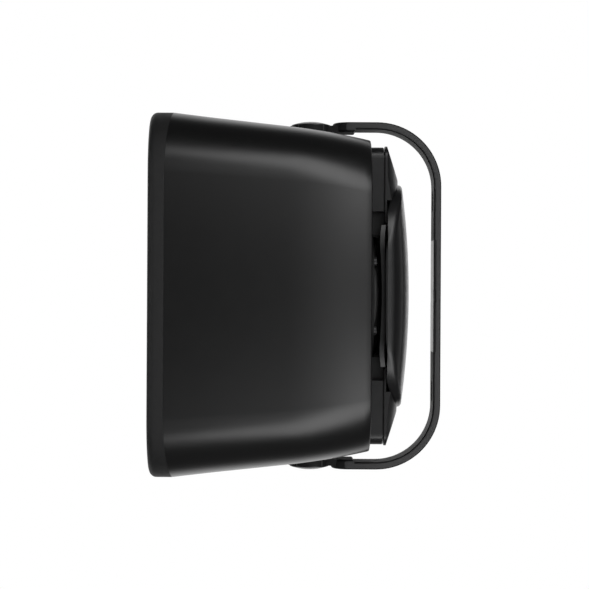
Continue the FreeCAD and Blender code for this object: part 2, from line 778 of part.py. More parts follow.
def tweeter_surround():
    return half_roll(DOME_RADIUS + THREAD_PLAY, DOME_ROLL, DOME_SHEET, Y_TWEETER_TOP, -1, TWEETER_Z)


def tweeter_top_plate():
    bore = DOME_RADIUS + TWEETER_GAP
    return tube_y(TWEETER_PLATE_RADIUS, bore, Y_TWEETER_TOP, Y_TWEETER_MAGNET, 0.0, TWEETER_Z)


def tweeter_magnet():
    return tube_y(TWEETER_PLATE_RADIUS, TWEETER_MAGNET_HOLE, Y_TWEETER_MAGNET, Y_TWEETER_BACK, 0.0, TWEETER_Z)


def tweeter_back_plate():
    pole = DOME_RADIUS - DOME_SHEET - TWEETER_GAP
    y_end = Y_TWEETER_BACK + TWEETER_POLE_PLATE
    plate = rod_y(TWEETER_PLATE_RADIUS, Y_TWEETER_BACK, y_end, 0.0, TWEETER_Z)
    return fused([plate, rod_y(pole, Y_TWEETER_TOP, Y_TWEETER_BACK, 0.0, TWEETER_Z)])


def tweeter_screws():
    return screw_set(tweeter_screw_places(), Y_BAFFLE, Y_BAFFLE_BACK - THREAD_PLAY)


# Rear panel, passive radiator, caps and pillow cover

def radiator_screw_places():
    return on_circle(RADIATOR_SCREWS, RADIATOR_SCREW_RADIUS, 0.0, 30.0)


def cap_screw_places():
    """Beside the cover's rounded corners, clear of the nest that it sits in."""
    reach = COVER_CORNER + COVER_GAP + CAP_SCREW_CLEARANCE
    angle = math.radians(CAP_SCREW_ANGLE)
    x = COVER_WIDTH / 2 - COVER_CORNER + reach * math.cos(angle)
    z = COVER_HEIGHT / 2 - COVER_CORNER + reach * math.sin(angle)
    return [(sx * x, sz * z) for sx in (1, -1) for sz in (1, -1)]


def board_screw_places():
    x = BOARD_WIDTH / 2 - BOARD_SCREW_INSET
    z = BOARD_HEIGHT / 2 - BOARD_SCREW_INSET
    return [(sx * x, board_z() + sz * z) for sx in (1, -1) for sz in (1, -1)]


def terminal_box(y_start, y_end, grow=0.0):
    half_width = TERMINAL_WIDTH / 2 + grow
    half_height = TERMINAL_HEIGHT / 2 + grow
    z = terminal_z()
    return box((-half_width, half_width), (y_start, y_end), (z - half_height, z + half_height))


def radiator_guard():
    """Walls that close the space between the neck blocks and the round radiator frame."""
    half = GUARD_WIDTH / 2
    wall = box((-half, half), (Y_PANEL, Y_CAP), (0.0, SIDE_VENT_HEIGHT / 2))
    wall = wall.cut(rod_y(RADIATOR_RADIUS + GUARD_GAP, Y_PANEL, Y_CAP))
    return [wall, mirrored(wall)]


def rear_panel():
    plate = rounded_prism(panel_half_width(), panel_half_height(), panel_corner(), Y_PANEL_INNER, Y_PANEL)
    y_groove = Y_CAP - NECK_GROOVE
    half_width = neck_half_width()
    half_height = neck_half_height()
    neck = rounded_prism(half_width, half_height, NECK_CORNER, Y_PANEL, y_groove)
    inset = NECK_GROOVE_DEPTH
    step = rounded_prism(half_width - inset, half_height - inset, NECK_CORNER - inset, y_groove, Y_CAP)
    half_vent = SIDE_VENT_HEIGHT / 2
    blocks = neck.fuse(step).cut(box((-FAR, FAR), (Y_PANEL, Y_CAP), (-half_vent, half_vent)))
    standoffs = holes(BOARD_STANDOFF_RADIUS, Y_BOARD, Y_PANEL_INNER, board_screw_places())
    tools = [rod_y(RADIATOR_OPENING, Y_PANEL_INNER, Y_PANEL), terminal_box(Y_PANEL, Y_CAP)]
    tools += holes(SCREW_RADIUS + THREAD_PLAY, Y_PANEL_INNER, Y_PANEL, radiator_screw_places())
    tools += holes(SCREW_RADIUS + SCREW_PLAY, Y_PANEL_INNER, Y_PANEL, panel_screw_places())
    tools += holes(SCREW_HEAD_RADIUS + SCREW_PLAY, Y_PANEL - SCREW_HEAD_HEIGHT, Y_PANEL, panel_screw_places())
    tools += holes(SCREW_RADIUS + SCREW_PLAY, Y_PANEL_INNER, Y_CAP, cap_screw_places())
    tools += holes(BOARD_SCREW_RADIUS + THREAD_PLAY, Y_BOARD, Y_PANEL_INNER, board_screw_places())
    return plate.fuse([blocks] + radiator_guard() + standoffs).cut(tools).removeSplitter()


def panel_gasket():
    ring = rounded_prism(panel_half_width(), panel_half_height(), panel_corner(), Y_LEDGE, Y_PANEL_INNER)
    tools = holes(SCREW_RADIUS + SCREW_PLAY, Y_LEDGE, Y_PANEL_INNER, panel_screw_places())
    return ring.cut([ledge_opening(Y_LEDGE, Y_PANEL_INNER)] + tools)


def panel_screws():
    return screw_set(panel_screw_places(), Y_PANEL - SCREW_HEAD_HEIGHT, Y_LEDGE - LEDGE_THICK, -1)


def cap_screws():
    return screw_set(cap_screw_places(), Y_PANEL_INNER, Y_CAP + CAP_SCREW_GRIP)


def radiator_frame():
    y_end = Y_PANEL + RADIATOR_FRAME
    ring = tube_y(RADIATOR_RADIUS, DIAPHRAGM_RADIUS + RADIATOR_ROLL - ROLL_SHEET, Y_PANEL, y_end)
    return ring.cut(holes(SCREW_RADIUS + SCREW_PLAY, Y_PANEL, y_end, radiator_screw_places()))


def radiator_surround():
    return half_roll(DIAPHRAGM_RADIUS, RADIATOR_ROLL, ROLL_SHEET, Y_PANEL + RADIATOR_FRAME, 1)


def radiator_diaphragm():
    """Dished disc with a flat centre that carries the tuning weight."""
    y_rim = Y_PANEL + RADIATOR_FRAME - GLUE_GAP
    edge = DIAPHRAGM_RADIUS + ROLL_SHEET
    y_floor = y_rim - DIAPHRAGM_DISH
    sheet = DIAPHRAGM_SHEET
    return lathe([
        (0.0, y_floor), (WEIGHT_RADIUS, y_floor), (edge - 2 * CONE_LIP, y_rim), (edge, y_rim),
        (edge, y_rim - sheet), (edge - 2 * CONE_LIP, y_rim - sheet), (WEIGHT_RADIUS, y_floor - sheet),
        (0.0, y_floor - sheet),
    ])


def radiator_weight():
    y_front = Y_PANEL + RADIATOR_FRAME - GLUE_GAP - DIAPHRAGM_DISH - DIAPHRAGM_SHEET
    return rod_y(WEIGHT_RADIUS, y_front - WEIGHT_THICK, y_front)


def radiator_screws():
    return screw_set(radiator_screw_places(), Y_PANEL + RADIATOR_FRAME, Y_PANEL_INNER, -1)


def pillow(drop, inset, y_floor):
    """Barrel-curved solid in a rounded outline, drop below the cover's outer face."""
    half_width = COVER_WIDTH / 2 - inset
    half_height = COVER_HEIGHT / 2 - inset
    prism = rounded_prism(half_width, half_height, COVER_CORNER - inset, y_floor, 0.0)
    return prism.common(barrel(drop))


def barrel(drop):
    """Solid of revolution about an upright axis, whose crowned face is drop below the cover's."""
    half = COVER_HEIGHT
    fall = COVER_CROWN * 4.0
    radius = COVER_ROUND - drop
    face = chain(vec(0, Y_COVER_AXIS, -half), (vec(0, Y_COVER_AXIS + radius - fall, -half),),
                 (vec(0, Y_COVER_AXIS + radius, 0), vec(0, Y_COVER_AXIS + radius - fall, half)),
                 (vec(0, Y_COVER_AXIS, half),))
    return face.revolve(vec(0, Y_COVER_AXIS, 0), Z_AXIS, 360)


def rear_cover():
    return pillow(0.0, 0.0, Y_CAP_SEAT + COVER_LIFT).cut(barrel(COVER_WALL))


def rear_cover_tray():
    drop = COVER_WALL + TRAY_JOIN
    shell = pillow(drop, TRAY_INSET, Y_COVER_AXIS).cut(barrel(drop + TRAY_WALL))
    join = pillow(COVER_WALL, 4 * TRAY_INSET, Y_COVER_AXIS).cut(barrel(drop))
    posts = []
    for sx in (1, -1):
        for sz in (1, -1):
            post = rod_y(TRAY_POST_RADIUS, Y_CAP_SEAT, 0.0, sx * TRAY_POST_X, sz * TRAY_POST_Z)
            posts.append(post.common(barrel(drop)))
    over_caps = box((-FAR, FAR), (-FAR, Y_CAP_SEAT + COVER_LIFT), (CAP_INNER_Z - COVER_GAP, FAR))
    shell = shell.cut([over_caps, mirrored(over_caps)])
    return fused([shell, join] + posts)


def rear_cap_upper():
    over = CAP_OVERHANG
    outline = (neck_half_width() + over, neck_half_height() + over, NECK_CORNER + over)
    y_lip = Y_CAP + CAP_LIP
    y_ridge = Y_CAP + CAP_RISE
    lip = rounded_prism(*outline, Y_CAP, y_lip)
    end_z = outline[1]
    wedge = chain(vec(-FAR, Y_CAP, CAP_INNER_Z), (vec(-FAR, y_ridge, CAP_INNER_Z),),
                  (vec(-FAR, y_ridge, CAP_RIDGE_Z),), (vec(-FAR, y_lip, end_z),), (vec(-FAR, Y_CAP, end_z),))
    wedge = wedge.extrude(vec(2 * FAR, 0, 0))
    body = rounded_prism(*outline, Y_CAP, y_ridge).common(wedge).common(barrel(CAP_BELOW_COVER))
    cap = lip.fuse(body).common(box((-FAR, FAR), (Y_CAP, 0.0), (CAP_INNER_Z, FAR)))
    gap = COVER_GAP
    nest = rounded_prism(COVER_WIDTH / 2 + gap, COVER_HEIGHT / 2 + gap, COVER_CORNER + gap, Y_CAP_SEAT, 0.0)
    screws = [place for place in cap_screw_places() if place[1] > 0]
    y_pilot = Y_CAP + CAP_SCREW_GRIP + SCREW_PLAY
    return cap.cut([nest] + holes(SCREW_RADIUS + THREAD_PLAY, Y_CAP, y_pilot, screws)).removeSplitter()


def rear_cap_lower():
    return mirrored(rear_cap_upper()).cut(terminal_box(Y_CAP, 0.0))


# Cable terminal and crossover

def terminal_places(offset):
    half = TERMINAL_PITCH / 2
    return [(-half + offset, terminal_z()), (half + offset, terminal_z())]


def terminal_block():
    block = terminal_box(Y_PANEL, Y_PANEL + TERMINAL_THICK, -TERMINAL_FIT)
    y_face = Y_PANEL + TERMINAL_THICK
    y_floor = Y_PANEL + TERMINAL_FLOOR
    wires = holes(WIRE_HOLE_RADIUS, y_floor, y_face, terminal_places(-CLAMP_OFFSET / 2))
    clamps = holes(CLAMP_SCREW_RADIUS + THREAD_PLAY, y_floor, y_face, terminal_places(CLAMP_OFFSET / 2))
    return block.cut(wires + clamps)


def terminal_screws():
    y_floor = Y_PANEL + TERMINAL_FLOOR
    y_face = Y_PANEL + TERMINAL_THICK
    return Part.makeCompound(holes(CLAMP_SCREW_RADIUS, y_floor, y_face, terminal_places(CLAMP_OFFSET / 2)))


def crossover_board():
    half_width = BOARD_WIDTH / 2
    half_height = BOARD_HEIGHT / 2
    board = box((-half_width, half_width), (Y_BOARD - BOARD_THICK, Y_BOARD),
                (board_z() - half_height, board_z() + half_height))
    return board.cut(holes(BOARD_SCREW_RADIUS + SCREW_PLAY, Y_BOARD - BOARD_THICK, Y_BOARD, board_screw_places()))


def board_screws():
    screws = []
    for x, z in board_screw_places():
        head = rod_y(2 * BOARD_SCREW_RADIUS, Y_BOARD - BOARD_THICK - BOARD_SCREW_RADIUS, Y_BOARD - BOARD_THICK, x, z)
        screws.append(fused([head, rod_y(BOARD_SCREW_RADIUS, Y_BOARD - BOARD_THICK, Y_PANEL_INNER, x, z)]))
    return Part.makeCompound(screws)


def component_face():
    return Y_BOARD - BOARD_THICK - BOARD_SEAT


def crossover_inductor():
    y_face = component_face()
    return tube_y(INDUCTOR_RADIUS, INDUCTOR_HOLE, y_face - INDUCTOR_HEIGHT, y_face, INDUCTOR_X, board_z())


def crossover_capacitors():
    y_face = component_face()
    cans = []
    for side in (-1, 1):
        z = board_z() + side * (CAPACITOR_RADIUS + BOARD_SEAT)
        start = vec(CAPACITOR_X - CAPACITOR_LENGTH / 2, y_face - CAPACITOR_RADIUS, z)
        cans.append(Part.makeCylinder(CAPACITOR_RADIUS, CAPACITOR_LENGTH, start, X_AXIS))
    return Part.makeCompound(cans)


def crossover_resistor():
    y_face = component_face()
    half = RESISTOR_SIDE / 2
    ends = (RESISTOR_X - RESISTOR_WIDTH / 2, RESISTOR_X + RESISTOR_WIDTH / 2)
    return box(ends, (y_face - RESISTOR_SIDE, y_face), (board_z() - half, board_z() + half))


# U bracket, pivots and screw cover

def strip():
    """Flat strip bent to a U in the YZ plane, with eased edges."""
    half = STRIP_WIDTH / 2
    y_tip = Y_PIVOT + NOSE_TIP + NOSE_CORNER
    turn = Z_ARM - BEND_RADIUS
    outer = BEND_RADIUS * math.sqrt(0.5)
    inner_radius = BEND_RADIUS - STRIP_THICK
    inner = inner_radius * math.sqrt(0.5)
    low = Z_ARM - STRIP_THICK

    def at(y, z):
        return vec(-half, y, z)

    face = chain(
        at(y_tip, Z_ARM), (at(-BEND_RADIUS, Z_ARM),),
        (at(-BEND_RADIUS + outer, turn + outer), at(0, turn)), (at(0, -turn),),
        (at(-BEND_RADIUS + outer, -turn - outer), at(-BEND_RADIUS, -Z_ARM)), (at(y_tip, -Z_ARM),),
        (at(y_tip, -low),), (at(-BEND_RADIUS, -low),),
        (at(-BEND_RADIUS + inner, -turn - inner), at(-STRIP_THICK, -turn)), (at(-STRIP_THICK, turn),),
        (at(-BEND_RADIUS + inner, turn + inner), at(-BEND_RADIUS, low)), (at(y_tip, low),),
    )
    body = face.extrude(vec(STRIP_WIDTH, 0, 0))
    long_edges = [edge for edge in body.Edges
                  if abs(edge.BoundBox.XMax - edge.BoundBox.XMin) < 0.1 and edge.BoundBox.YMax > y_tip + 1.0]
    return body.makeFillet(STRIP_EDGE, long_edges)


def arm_end():
    """Thick round-nosed end of the upper arm, with the thin eye that the bolt clamps."""
    half = STRIP_WIDTH / 2
    nose = box((-half, half), (Y_PIVOT + NOSE_TIP, Y_PIVOT + NOSE_END), (Z_EYE, Z_ARM))
    corners = [edge for edge in nose.Edges
               if edge.BoundBox.ZLength > 1.0 and edge.BoundBox.YMax < Y_PIVOT + NOSE_TIP + 1.0]
    nose = nose.makeFillet(NOSE_CORNER, corners)
    rest = [edge for edge in nose.Edges if edge.BoundBox.ZMin > Z_ARM - 0.1]
    rest += [edge for edge in nose.Edges if edge.BoundBox.ZMax < Z_EYE + 0.1]
    nose = nose.makeFillet(STRIP_EDGE, rest)
    eye = rod_z(EYE_RADIUS, Z_EYE, Z_EYE + EYE_THICK, 0.0, Y_PIVOT)
    web_half = WEB_WIDTH / 2
    web = box((-web_half, web_half), (Y_PIVOT, Y_PIVOT + NOSE_TIP + NOSE_CORNER), (Z_EYE, Z_EYE + EYE_THICK))
    return [nose, eye, web]


def bracket():
    ends = arm_end()
    body = strip().fuse(ends + [mirrored(part) for part in ends])
    bore = rod_z(BOLT_RADIUS + BOLT_PLAY, -FAR, FAR, 0.0, Y_PIVOT)
    tools = [bore]
    half_straight = (SLOT_LENGTH - SLOT_WIDTH) / 2
    radius = SLOT_WIDTH / 2
    for sz in (1, -1):
        z = sz * SLOT_Z
        slot = box((-radius, radius), (-STRIP_THICK, 0.0), (z - half_straight, z + half_straight))
        round_ends = holes(radius, -STRIP_THICK, 0.0, [(0.0, z - half_straight), (0.0, z + half_straight)])
        tools.append(fused([slot] + round_ends))
        tools.append(rod_y(COVER_PEG_RADIUS + COVER_PEG_PLAY, -STRIP_THICK, 0.0, 0.0, sz * COVER_PEG_Z))
    seat = SCREW_COVER_LENGTH / 2 + SCREW_COVER_PLAY
    tools.append(box((-FAR, FAR), (-STRIP_THICK, SCREW_COVER_THICK - STRIP_THICK), (-seat, seat)))
    return body.cut(tools + edge_rebates(seat)).removeSplitter()


def edge_rebates(z_start):
    """Stepped inner edges above and below the screw cover, each in two runs with a tab between them."""
    inside = STRIP_WIDTH / 2 - REBATE_WIDTH
    tab = REBATE_TAB / 2
    rebates = []
    for low, high in ((z_start, REBATE_TAB_Z - tab), (REBATE_TAB_Z + tab, REBATE_END)):
        for across in ((inside, FAR), (-FAR, -inside)):
            for along in ((low, high), (-high, -low)):
                rebates.append(box(across, (-STRIP_THICK, REBATE_DEPTH - STRIP_THICK), along))
    return rebates


def screw_cover():
    """Clip-on strip let into the inside of the upright, with eased edges and a prying notch each side."""
    half = SCREW_COVER_LENGTH / 2
    half_width = SCREW_COVER_WIDTH / 2
    y_face = -STRIP_THICK
    y_back = y_face + SCREW_COVER_THICK
    profile = chain(vec(-half_width, y_back, -half), (vec(-half_width, y_back, half),),
                    (vec(-half_width, y_face, half - SCREW_COVER_TAPER),),
                    (vec(-half_width, y_face, -half + SCREW_COVER_TAPER),))
    body = profile.extrude(vec(SCREW_COVER_WIDTH, 0, 0))
    sides = [edge for edge in body.Edges
             if edge.BoundBox.YMax < y_face + 0.1 and edge.BoundBox.ZLength > SCREW_COVER_LENGTH / 2]
    body = body.makeFillet(SCREW_COVER_EDGE, sides)
    notch = COVER_NOTCH_LENGTH / 2
    notches = []
    for sx in (1, -1):
        edges = sorted((sx * half_width, sx * (half_width - COVER_NOTCH_DEPTH)))
        notches.append(box(edges, (y_face, y_back), (-notch, notch)))
    pegs = holes(COVER_PEG_RADIUS, y_back, -STRIP_THICK / 4, [(0.0, COVER_PEG_Z), (0.0, -COVER_PEG_Z)])
    return fused([body.cut(notches)] + pegs)


def pivot_washer_upper():
    washer = rod_z(WASHER_RADIUS, Z_WELL, Z_WELL + WASHER_THICK, 0.0, Y_PIVOT)
    return washer.cut(rod_z(BOLT_RADIUS + BOLT_PLAY, Z_WELL, Z_WELL + WASHER_THICK, 0.0, Y_PIVOT))


def pivot_insert_upper():
    z_start = Z_WELL - INSERT_LENGTH
    insert = rod_z(INSERT_RADIUS - THREAD_PLAY, z_start, Z_WELL, 0.0, Y_PIVOT)
    return insert.cut(rod_z(BOLT_RADIUS + THREAD_PLAY, z_start, Z_WELL, 0.0, Y_PIVOT))


def pivot_bolt_upper():
    """Bolt with a wide low-domed head."""
    top = Z_BOLT_HEAD + BOLT_HEAD_RIM
    ball = (BOLT_HEAD_RADIUS ** 2 + BOLT_HEAD_CROWN ** 2) / (2 * BOLT_HEAD_CROWN)
    head = rod_z(BOLT_HEAD_RADIUS, Z_BOLT_HEAD, top + BOLT_HEAD_CROWN, 0.0, Y_PIVOT)
    head = head.common(Part.makeSphere(ball, vec(0, Y_PIVOT, top + BOLT_HEAD_CROWN - ball)))
    shank = rod_z(BOLT_RADIUS, Z_WELL - INSERT_LENGTH, Z_BOLT_HEAD, 0.0, Y_PIVOT)
    socket = hexagon_prism(BOLT_SOCKET_FLATS, 0.0, 2 * BOLT_SOCKET_DEPTH)
    socket.rotate(vec(0, 0, 0), X_AXIS, 90)
    socket.translate(vec(0, Y_PIVOT, top + BOLT_HEAD_CROWN - BOLT_SOCKET_DEPTH))
    return fused([head, shank]).cut(socket)


def pivot_washer_lower():
    return mirrored(pivot_washer_upper())


def pivot_insert_lower():
    return mirrored(pivot_insert_upper())


def pivot_bolt_lower():
    return mirrored(pivot_bolt_upper())


PIECES = (
    cabinet_shell, front_grille, front_baffle, baffle_gasket, baffle_screws,
    woofer_basket, woofer_surround, woofer_cone, woofer_dust_cap, woofer_voice_coil, woofer_spider,
    woofer_top_plate, woofer_magnet, woofer_back_plate, woofer_screws,
    tweeter_faceplate, tweeter_dome, tweeter_voice_coil, tweeter_surround, tweeter_top_plate,
    tweeter_magnet, tweeter_back_plate, tweeter_screws,
    rear_panel, panel_gasket, panel_screws, radiator_frame, radiator_surround, radiator_diaphragm,
    radiator_weight, radiator_screws, rear_cap_upper, rear_cap_lower, cap_screws,
    rear_cover, rear_cover_tray, terminal_block, terminal_screws,
    crossover_board, board_screws, crossover_inductor, crossover_capacitors, crossover_resistor,
    bracket, screw_cover, pivot_washer_upper, pivot_washer_lower, pivot_insert_upper,
    pivot_insert_lower, pivot_bolt_upper, pivot_bolt_lower,
)


def main():
    os.makedirs("parts", exist_ok=True)
    for piece in PIECES:
        piece().exportStep(os.path.join("parts", piece.__name__ + ".step"))


main()
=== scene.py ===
"""Looks of a compact weatherproof loudspeaker on its swivelling U bracket, laid out as an add-on.

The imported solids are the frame. The cabinet, the front grille, the rear cover, the clip-on strip inside
the bracket and the rubber rolls are modelled here in more detail. The other pieces keep their solids and
get their finishes.
"""

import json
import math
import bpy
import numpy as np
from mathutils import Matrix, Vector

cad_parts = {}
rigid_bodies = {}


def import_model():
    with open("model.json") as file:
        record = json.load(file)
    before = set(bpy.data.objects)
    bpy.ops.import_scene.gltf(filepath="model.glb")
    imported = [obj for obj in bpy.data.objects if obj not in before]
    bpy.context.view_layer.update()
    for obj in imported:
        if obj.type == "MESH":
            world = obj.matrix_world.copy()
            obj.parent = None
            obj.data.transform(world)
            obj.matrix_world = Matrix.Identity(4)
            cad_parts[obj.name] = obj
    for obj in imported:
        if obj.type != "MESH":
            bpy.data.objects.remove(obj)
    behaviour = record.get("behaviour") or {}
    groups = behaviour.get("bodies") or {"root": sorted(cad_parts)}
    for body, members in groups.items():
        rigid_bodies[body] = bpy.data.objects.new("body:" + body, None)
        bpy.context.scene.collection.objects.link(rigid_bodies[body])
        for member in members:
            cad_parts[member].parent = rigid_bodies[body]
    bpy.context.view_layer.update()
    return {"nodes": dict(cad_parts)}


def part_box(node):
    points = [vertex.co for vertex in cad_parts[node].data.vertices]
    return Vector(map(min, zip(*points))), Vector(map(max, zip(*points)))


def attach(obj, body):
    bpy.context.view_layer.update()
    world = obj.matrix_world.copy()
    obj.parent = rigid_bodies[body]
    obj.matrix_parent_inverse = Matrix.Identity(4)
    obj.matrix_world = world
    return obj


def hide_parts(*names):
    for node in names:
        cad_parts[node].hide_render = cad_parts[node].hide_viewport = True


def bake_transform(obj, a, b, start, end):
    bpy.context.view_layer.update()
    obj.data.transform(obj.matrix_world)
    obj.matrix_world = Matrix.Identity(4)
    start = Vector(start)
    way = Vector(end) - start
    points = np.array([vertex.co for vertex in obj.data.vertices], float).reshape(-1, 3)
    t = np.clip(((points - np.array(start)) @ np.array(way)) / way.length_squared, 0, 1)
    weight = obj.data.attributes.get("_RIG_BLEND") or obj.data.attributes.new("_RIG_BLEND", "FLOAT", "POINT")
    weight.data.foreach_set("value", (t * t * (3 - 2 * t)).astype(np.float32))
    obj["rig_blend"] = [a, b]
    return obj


bl_info = {
    "name": "Compact Wall Loudspeaker",
    "version": (1, 0, 0),
    "blender": (4, 5, 0),
    "location": "View3D > Sidebar > Loudspeaker",
    "description": "Models and finishes a compact wall loudspeaker and sets up its studio",
    "category": "Object",
}

import bmesh
import bpy
from bpy.props import FloatProperty, FloatVectorProperty, IntProperty, PointerProperty
from mathutils import Matrix, Vector

for leftover in list(bpy.data.objects):
    bpy.data.objects.remove(leftover)
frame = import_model()

SHELL_LOW, SHELL_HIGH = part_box("cabinet_shell")
GRILLE_LOW, GRILLE_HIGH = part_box("front_grille")
WOOFER_LOW, WOOFER_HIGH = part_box("woofer_surround")
RADIATOR_LOW, RADIATOR_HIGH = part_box("radiator_surround")
WASHER_LOW, WASHER_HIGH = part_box("pivot_washer_upper")
COVER_LOW, COVER_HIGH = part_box("rear_cover")
CLIP_LOW, CLIP_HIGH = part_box("screw_cover")

TOUCH = 1e-6
EDGE_STEPS = 8
ROUNDING_STEPS = 6
FACE_STEPS = 8
ROLL_STEPS = 10
SIDE_CUTS = 15
RIDGE_SHARE = 0.8


def length(label, about, default):
    return FloatProperty(name=label, description=about, default=default, min=0.0, unit="LENGTH", precision=5)


def colour(label, about, default):
    return FloatVectorProperty(name=label, description=about, default=default, size=3, min=0.0, max=1.0,
                               subtype="COLOR")


class CabinetSizes(bpy.types.PropertyGroup):
    """Sizes of the tapered cabinet and its pivot wells"""
    width: length("Width", "Width at the front edge", SHELL_HIGH.x - SHELL_LOW.x)
    height: length("Height", "Height at the front edge", SHELL_HIGH.z - SHELL_LOW.z)
    depth: length("Depth", "From the front edge to the rear edge", SHELL_HIGH.y - SHELL_LOW.y)
    corner: length("Corner", "Corner radius at the front edge", 0.045)
    corner_loss: length("Corner loss", "How much smaller the corner radius is at the rear", 0.005)
    wall: length("Wall", "Thickness of the moulded wall", 0.0035)
    taper_run: length("Taper run", "Length of the straight taper behind the front edge", 0.0845)
    top_taper: length("Top taper", "Fall of the top along the straight taper", 0.0085)
    top_curve: length("Top curve", "Fall of the top along the curved tail", 0.0088)
    side_taper: length("Side taper", "Fall of each side along the straight taper", 0.0095)
    side_curve: length("Side curve", "Fall of each side along the curved tail", 0.012)
    edge: length("Rear edge", "Rounding of the rear edge", 0.0008)
    strip_width: length("Strip width", "Width of the bracket's strip", 0.025)
    well_radius: length("Well radius", "Radius of the round well that the bracket's end turns in", 0.0175)
    seam_fit: length("Seam fit", "How far the front edge reaches into the gap behind the grille", 0.0004)
    seam_bow: length("Seam bow", "How far the seam behind the grille bows back at the top and the bottom", 0.0034)
    seam_start: length("Seam start", "Height above the middle from which the seam bows", 0.085)
    seam_run: length("Seam run", "Depth over which the bowed front edge straightens", 0.03)
    stations: IntProperty(name="Stations", description="Sections along the depth", default=26, min=6)


class GrilleSizes(bpy.types.PropertyGroup):
    """Sizes of the perforated front grille"""
    edge: length("Edge", "Radius of the rolled front edge", 0.005)
    crown: length("Crown", "How far the middle of the face stands forward", 0.0015)
    border: length("Border", "Plain border between the outline and the holes", 0.0085)
    sheet: length("Sheet", "Thickness of the sheet", 0.001)
    hole_pitch: length("Hole pitch", "Distance between the centres of two holes", 0.0035)
    hole_wall: length("Hole wall", "Sheet left between two holes", 0.0011)
    set_back: length("Set back", "How far the holed field lies behind the border", 0.0002)


class DriverSizes(bpy.types.PropertyGroup):
    """Sizes of the rubber rolls around the woofer's cone and the passive radiator"""
    woofer_roll: length("Woofer roll", "Width of the woofer's half roll", 0.010)
    radiator_roll: length("Radiator roll", "Width of the radiator's half roll", 0.008)
    rubber: length("Rubber", "Thickness of the rubber", 0.0008)
    turns: IntProperty(name="Turns", description="Steps round a turned piece", default=96, min=12)


class RearSizes(bpy.types.PropertyGroup):
    """Sizes of the pillow-shaped rear cover and of the clip-on strip inside the bracket"""
    cover_fullness: FloatProperty(name="Cover fullness", default=2.0, min=1.5,
                                  description="Power of the cover's section across its width, where 2 is an ellipse")
    cover_arc: length("Cover arc", "Radius of the cover's face along its height", 0.556)
    cover_corner: length("Cover corner", "Corner radius of the cover's outline", 0.048)
    cover_edge: length("Cover edge", "Rounding of the cover's outer edge", 0.0024)
    cover_side: length("Cover side", "Height of the cover's outer side, with its rounding", 0.0076)
    cover_wall: length("Cover wall", "Thickness of the cover", 0.0012)
    clip_thick: length("Clip thickness", "Thickness of the clip-on strip", 0.002)
    clip_fit: length("Clip fit", "How far the strip's ends reach towards the ends of its seat", 0.00025)
    clip_edge: length("Clip edge", "Rounding of the strip's long edges", 0.0009)
    notch_length: length("Notch length", "Length of the prying notch at each side", 0.0095)
    notch_depth: length("Notch depth", "Depth of the prying notch at each side", 0.0016)
    peg_radius: length("Peg radius", "Radius of the strip's two pegs", 0.0029)
    peg_place: length("Peg place", "Height of each peg above or below the middle", 0.025)


class FinishColours(bpy.types.PropertyGroup):
    """Colours of the finishes"""
    cabinet: colour("Cabinet", "Satin moulded cabinet", (0.0058, 0.0058, 0.006))
    grille: colour("Grille", "Matt powder coat of the grille", (0.0135, 0.0135, 0.0138))
    bracket: colour("Bracket", "Matt coat of the bracket", (0.012, 0.012, 0.0125))
    # Painted sheen: the bracket strip's flat sides get this lighter colour in place of the reflection of the lamps
    # that they catch.
    bracket_side_sheen: colour("Bracket edge", "Cut edges of the bracket's strip", (0.06, 0.06, 0.061))
    rear: colour("Rear mouldings", "Rear panel, caps and cover", (0.009, 0.009, 0.0095))
    rubber: colour("Rubber", "Rolls, gaskets and washers", (0.012, 0.012, 0.012))
    cone: colour("Cone", "Woofer cone", (0.045, 0.045, 0.048))
    dome: colour("Dome", "Tweeter dome", (0.32, 0.32, 0.34))


class StudioSettings(bpy.types.PropertyGroup):
    """Camera, floor and lamps"""
    distance: length("Camera distance", "From the middle of the cabinet to the camera", 1.1)
    camera_y: FloatProperty(name="Camera place", description="Camera's place along the depth",
                            default=-0.1064, unit="LENGTH", precision=5)
    camera_z: FloatProperty(name="Camera height", description="Camera's height", default=0.0007,
                            unit="LENGTH", precision=5)
    roll: FloatProperty(name="Roll", description="Camera's turn about its own line of sight",
                        default=math.radians(0.3), subtype="ANGLE")
    lens: FloatProperty(name="Lens", description="Focal length in millimetres", default=91.52, min=10.0)
    strip_radiance: FloatProperty(name="Strip boxes", description="Brightness of the two strip boxes",
                                  default=3.6, min=0.0)
    fill_radiance: FloatProperty(name="Rear fill", description="Brightness of the soft box at the rear",
                                 default=0.15, min=0.0)
    skirt_radiance: FloatProperty(name="Skirt boxes", description="Brightness of the wide boxes at the rear",
                                  default=0.65, min=0.0)
    rim_radiance: FloatProperty(name="Rim boxes", description="Brightness of the boxes behind the object",
                                default=0.2, min=0.0)
    front_radiance: FloatProperty(name="Front fill", description="Brightness of the box behind the camera",
                                  default=0.14, min=0.0)
    front_side_radiance: FloatProperty(name="Front side", description="Brightness of the box ahead of the grille",
                                       default=1.2, min=0.0)
    room: FloatProperty(name="Room", description="Brightness of the room in reflections", default=0.04, min=0.0)
    floor_drop: length("Floor drop", "From the middle of the cabinet down to the floor", 2.0)


# Mesh helpers

def rounded_loop(bm, half_width, half_height, radius, y, segments=20):
    """Edges of a rounded rectangle across the depth axis."""
    known = set(bm.edges)
    corners = [bm.verts.new((sx * half_width, y, sz * half_height))
               for sx, sz in ((1, 1), (-1, 1), (-1, -1), (1, -1))]
    face = bm.faces.new(corners)
    bmesh.ops.bevel(bm, geom=corners, offset=radius, offset_type="OFFSET", segments=segments,
                    profile=0.5, affect="VERTICES", material=-1)
    faces = {face for edge in bm.edges if edge not in known for face in edge.link_faces}
    bmesh.ops.delete(bm, geom=list(faces), context="FACES_ONLY")
    return [edge for edge in bm.edges if edge not in known]


def loop_verts(loop):
    return {vert for edge in loop for vert in edge.verts}


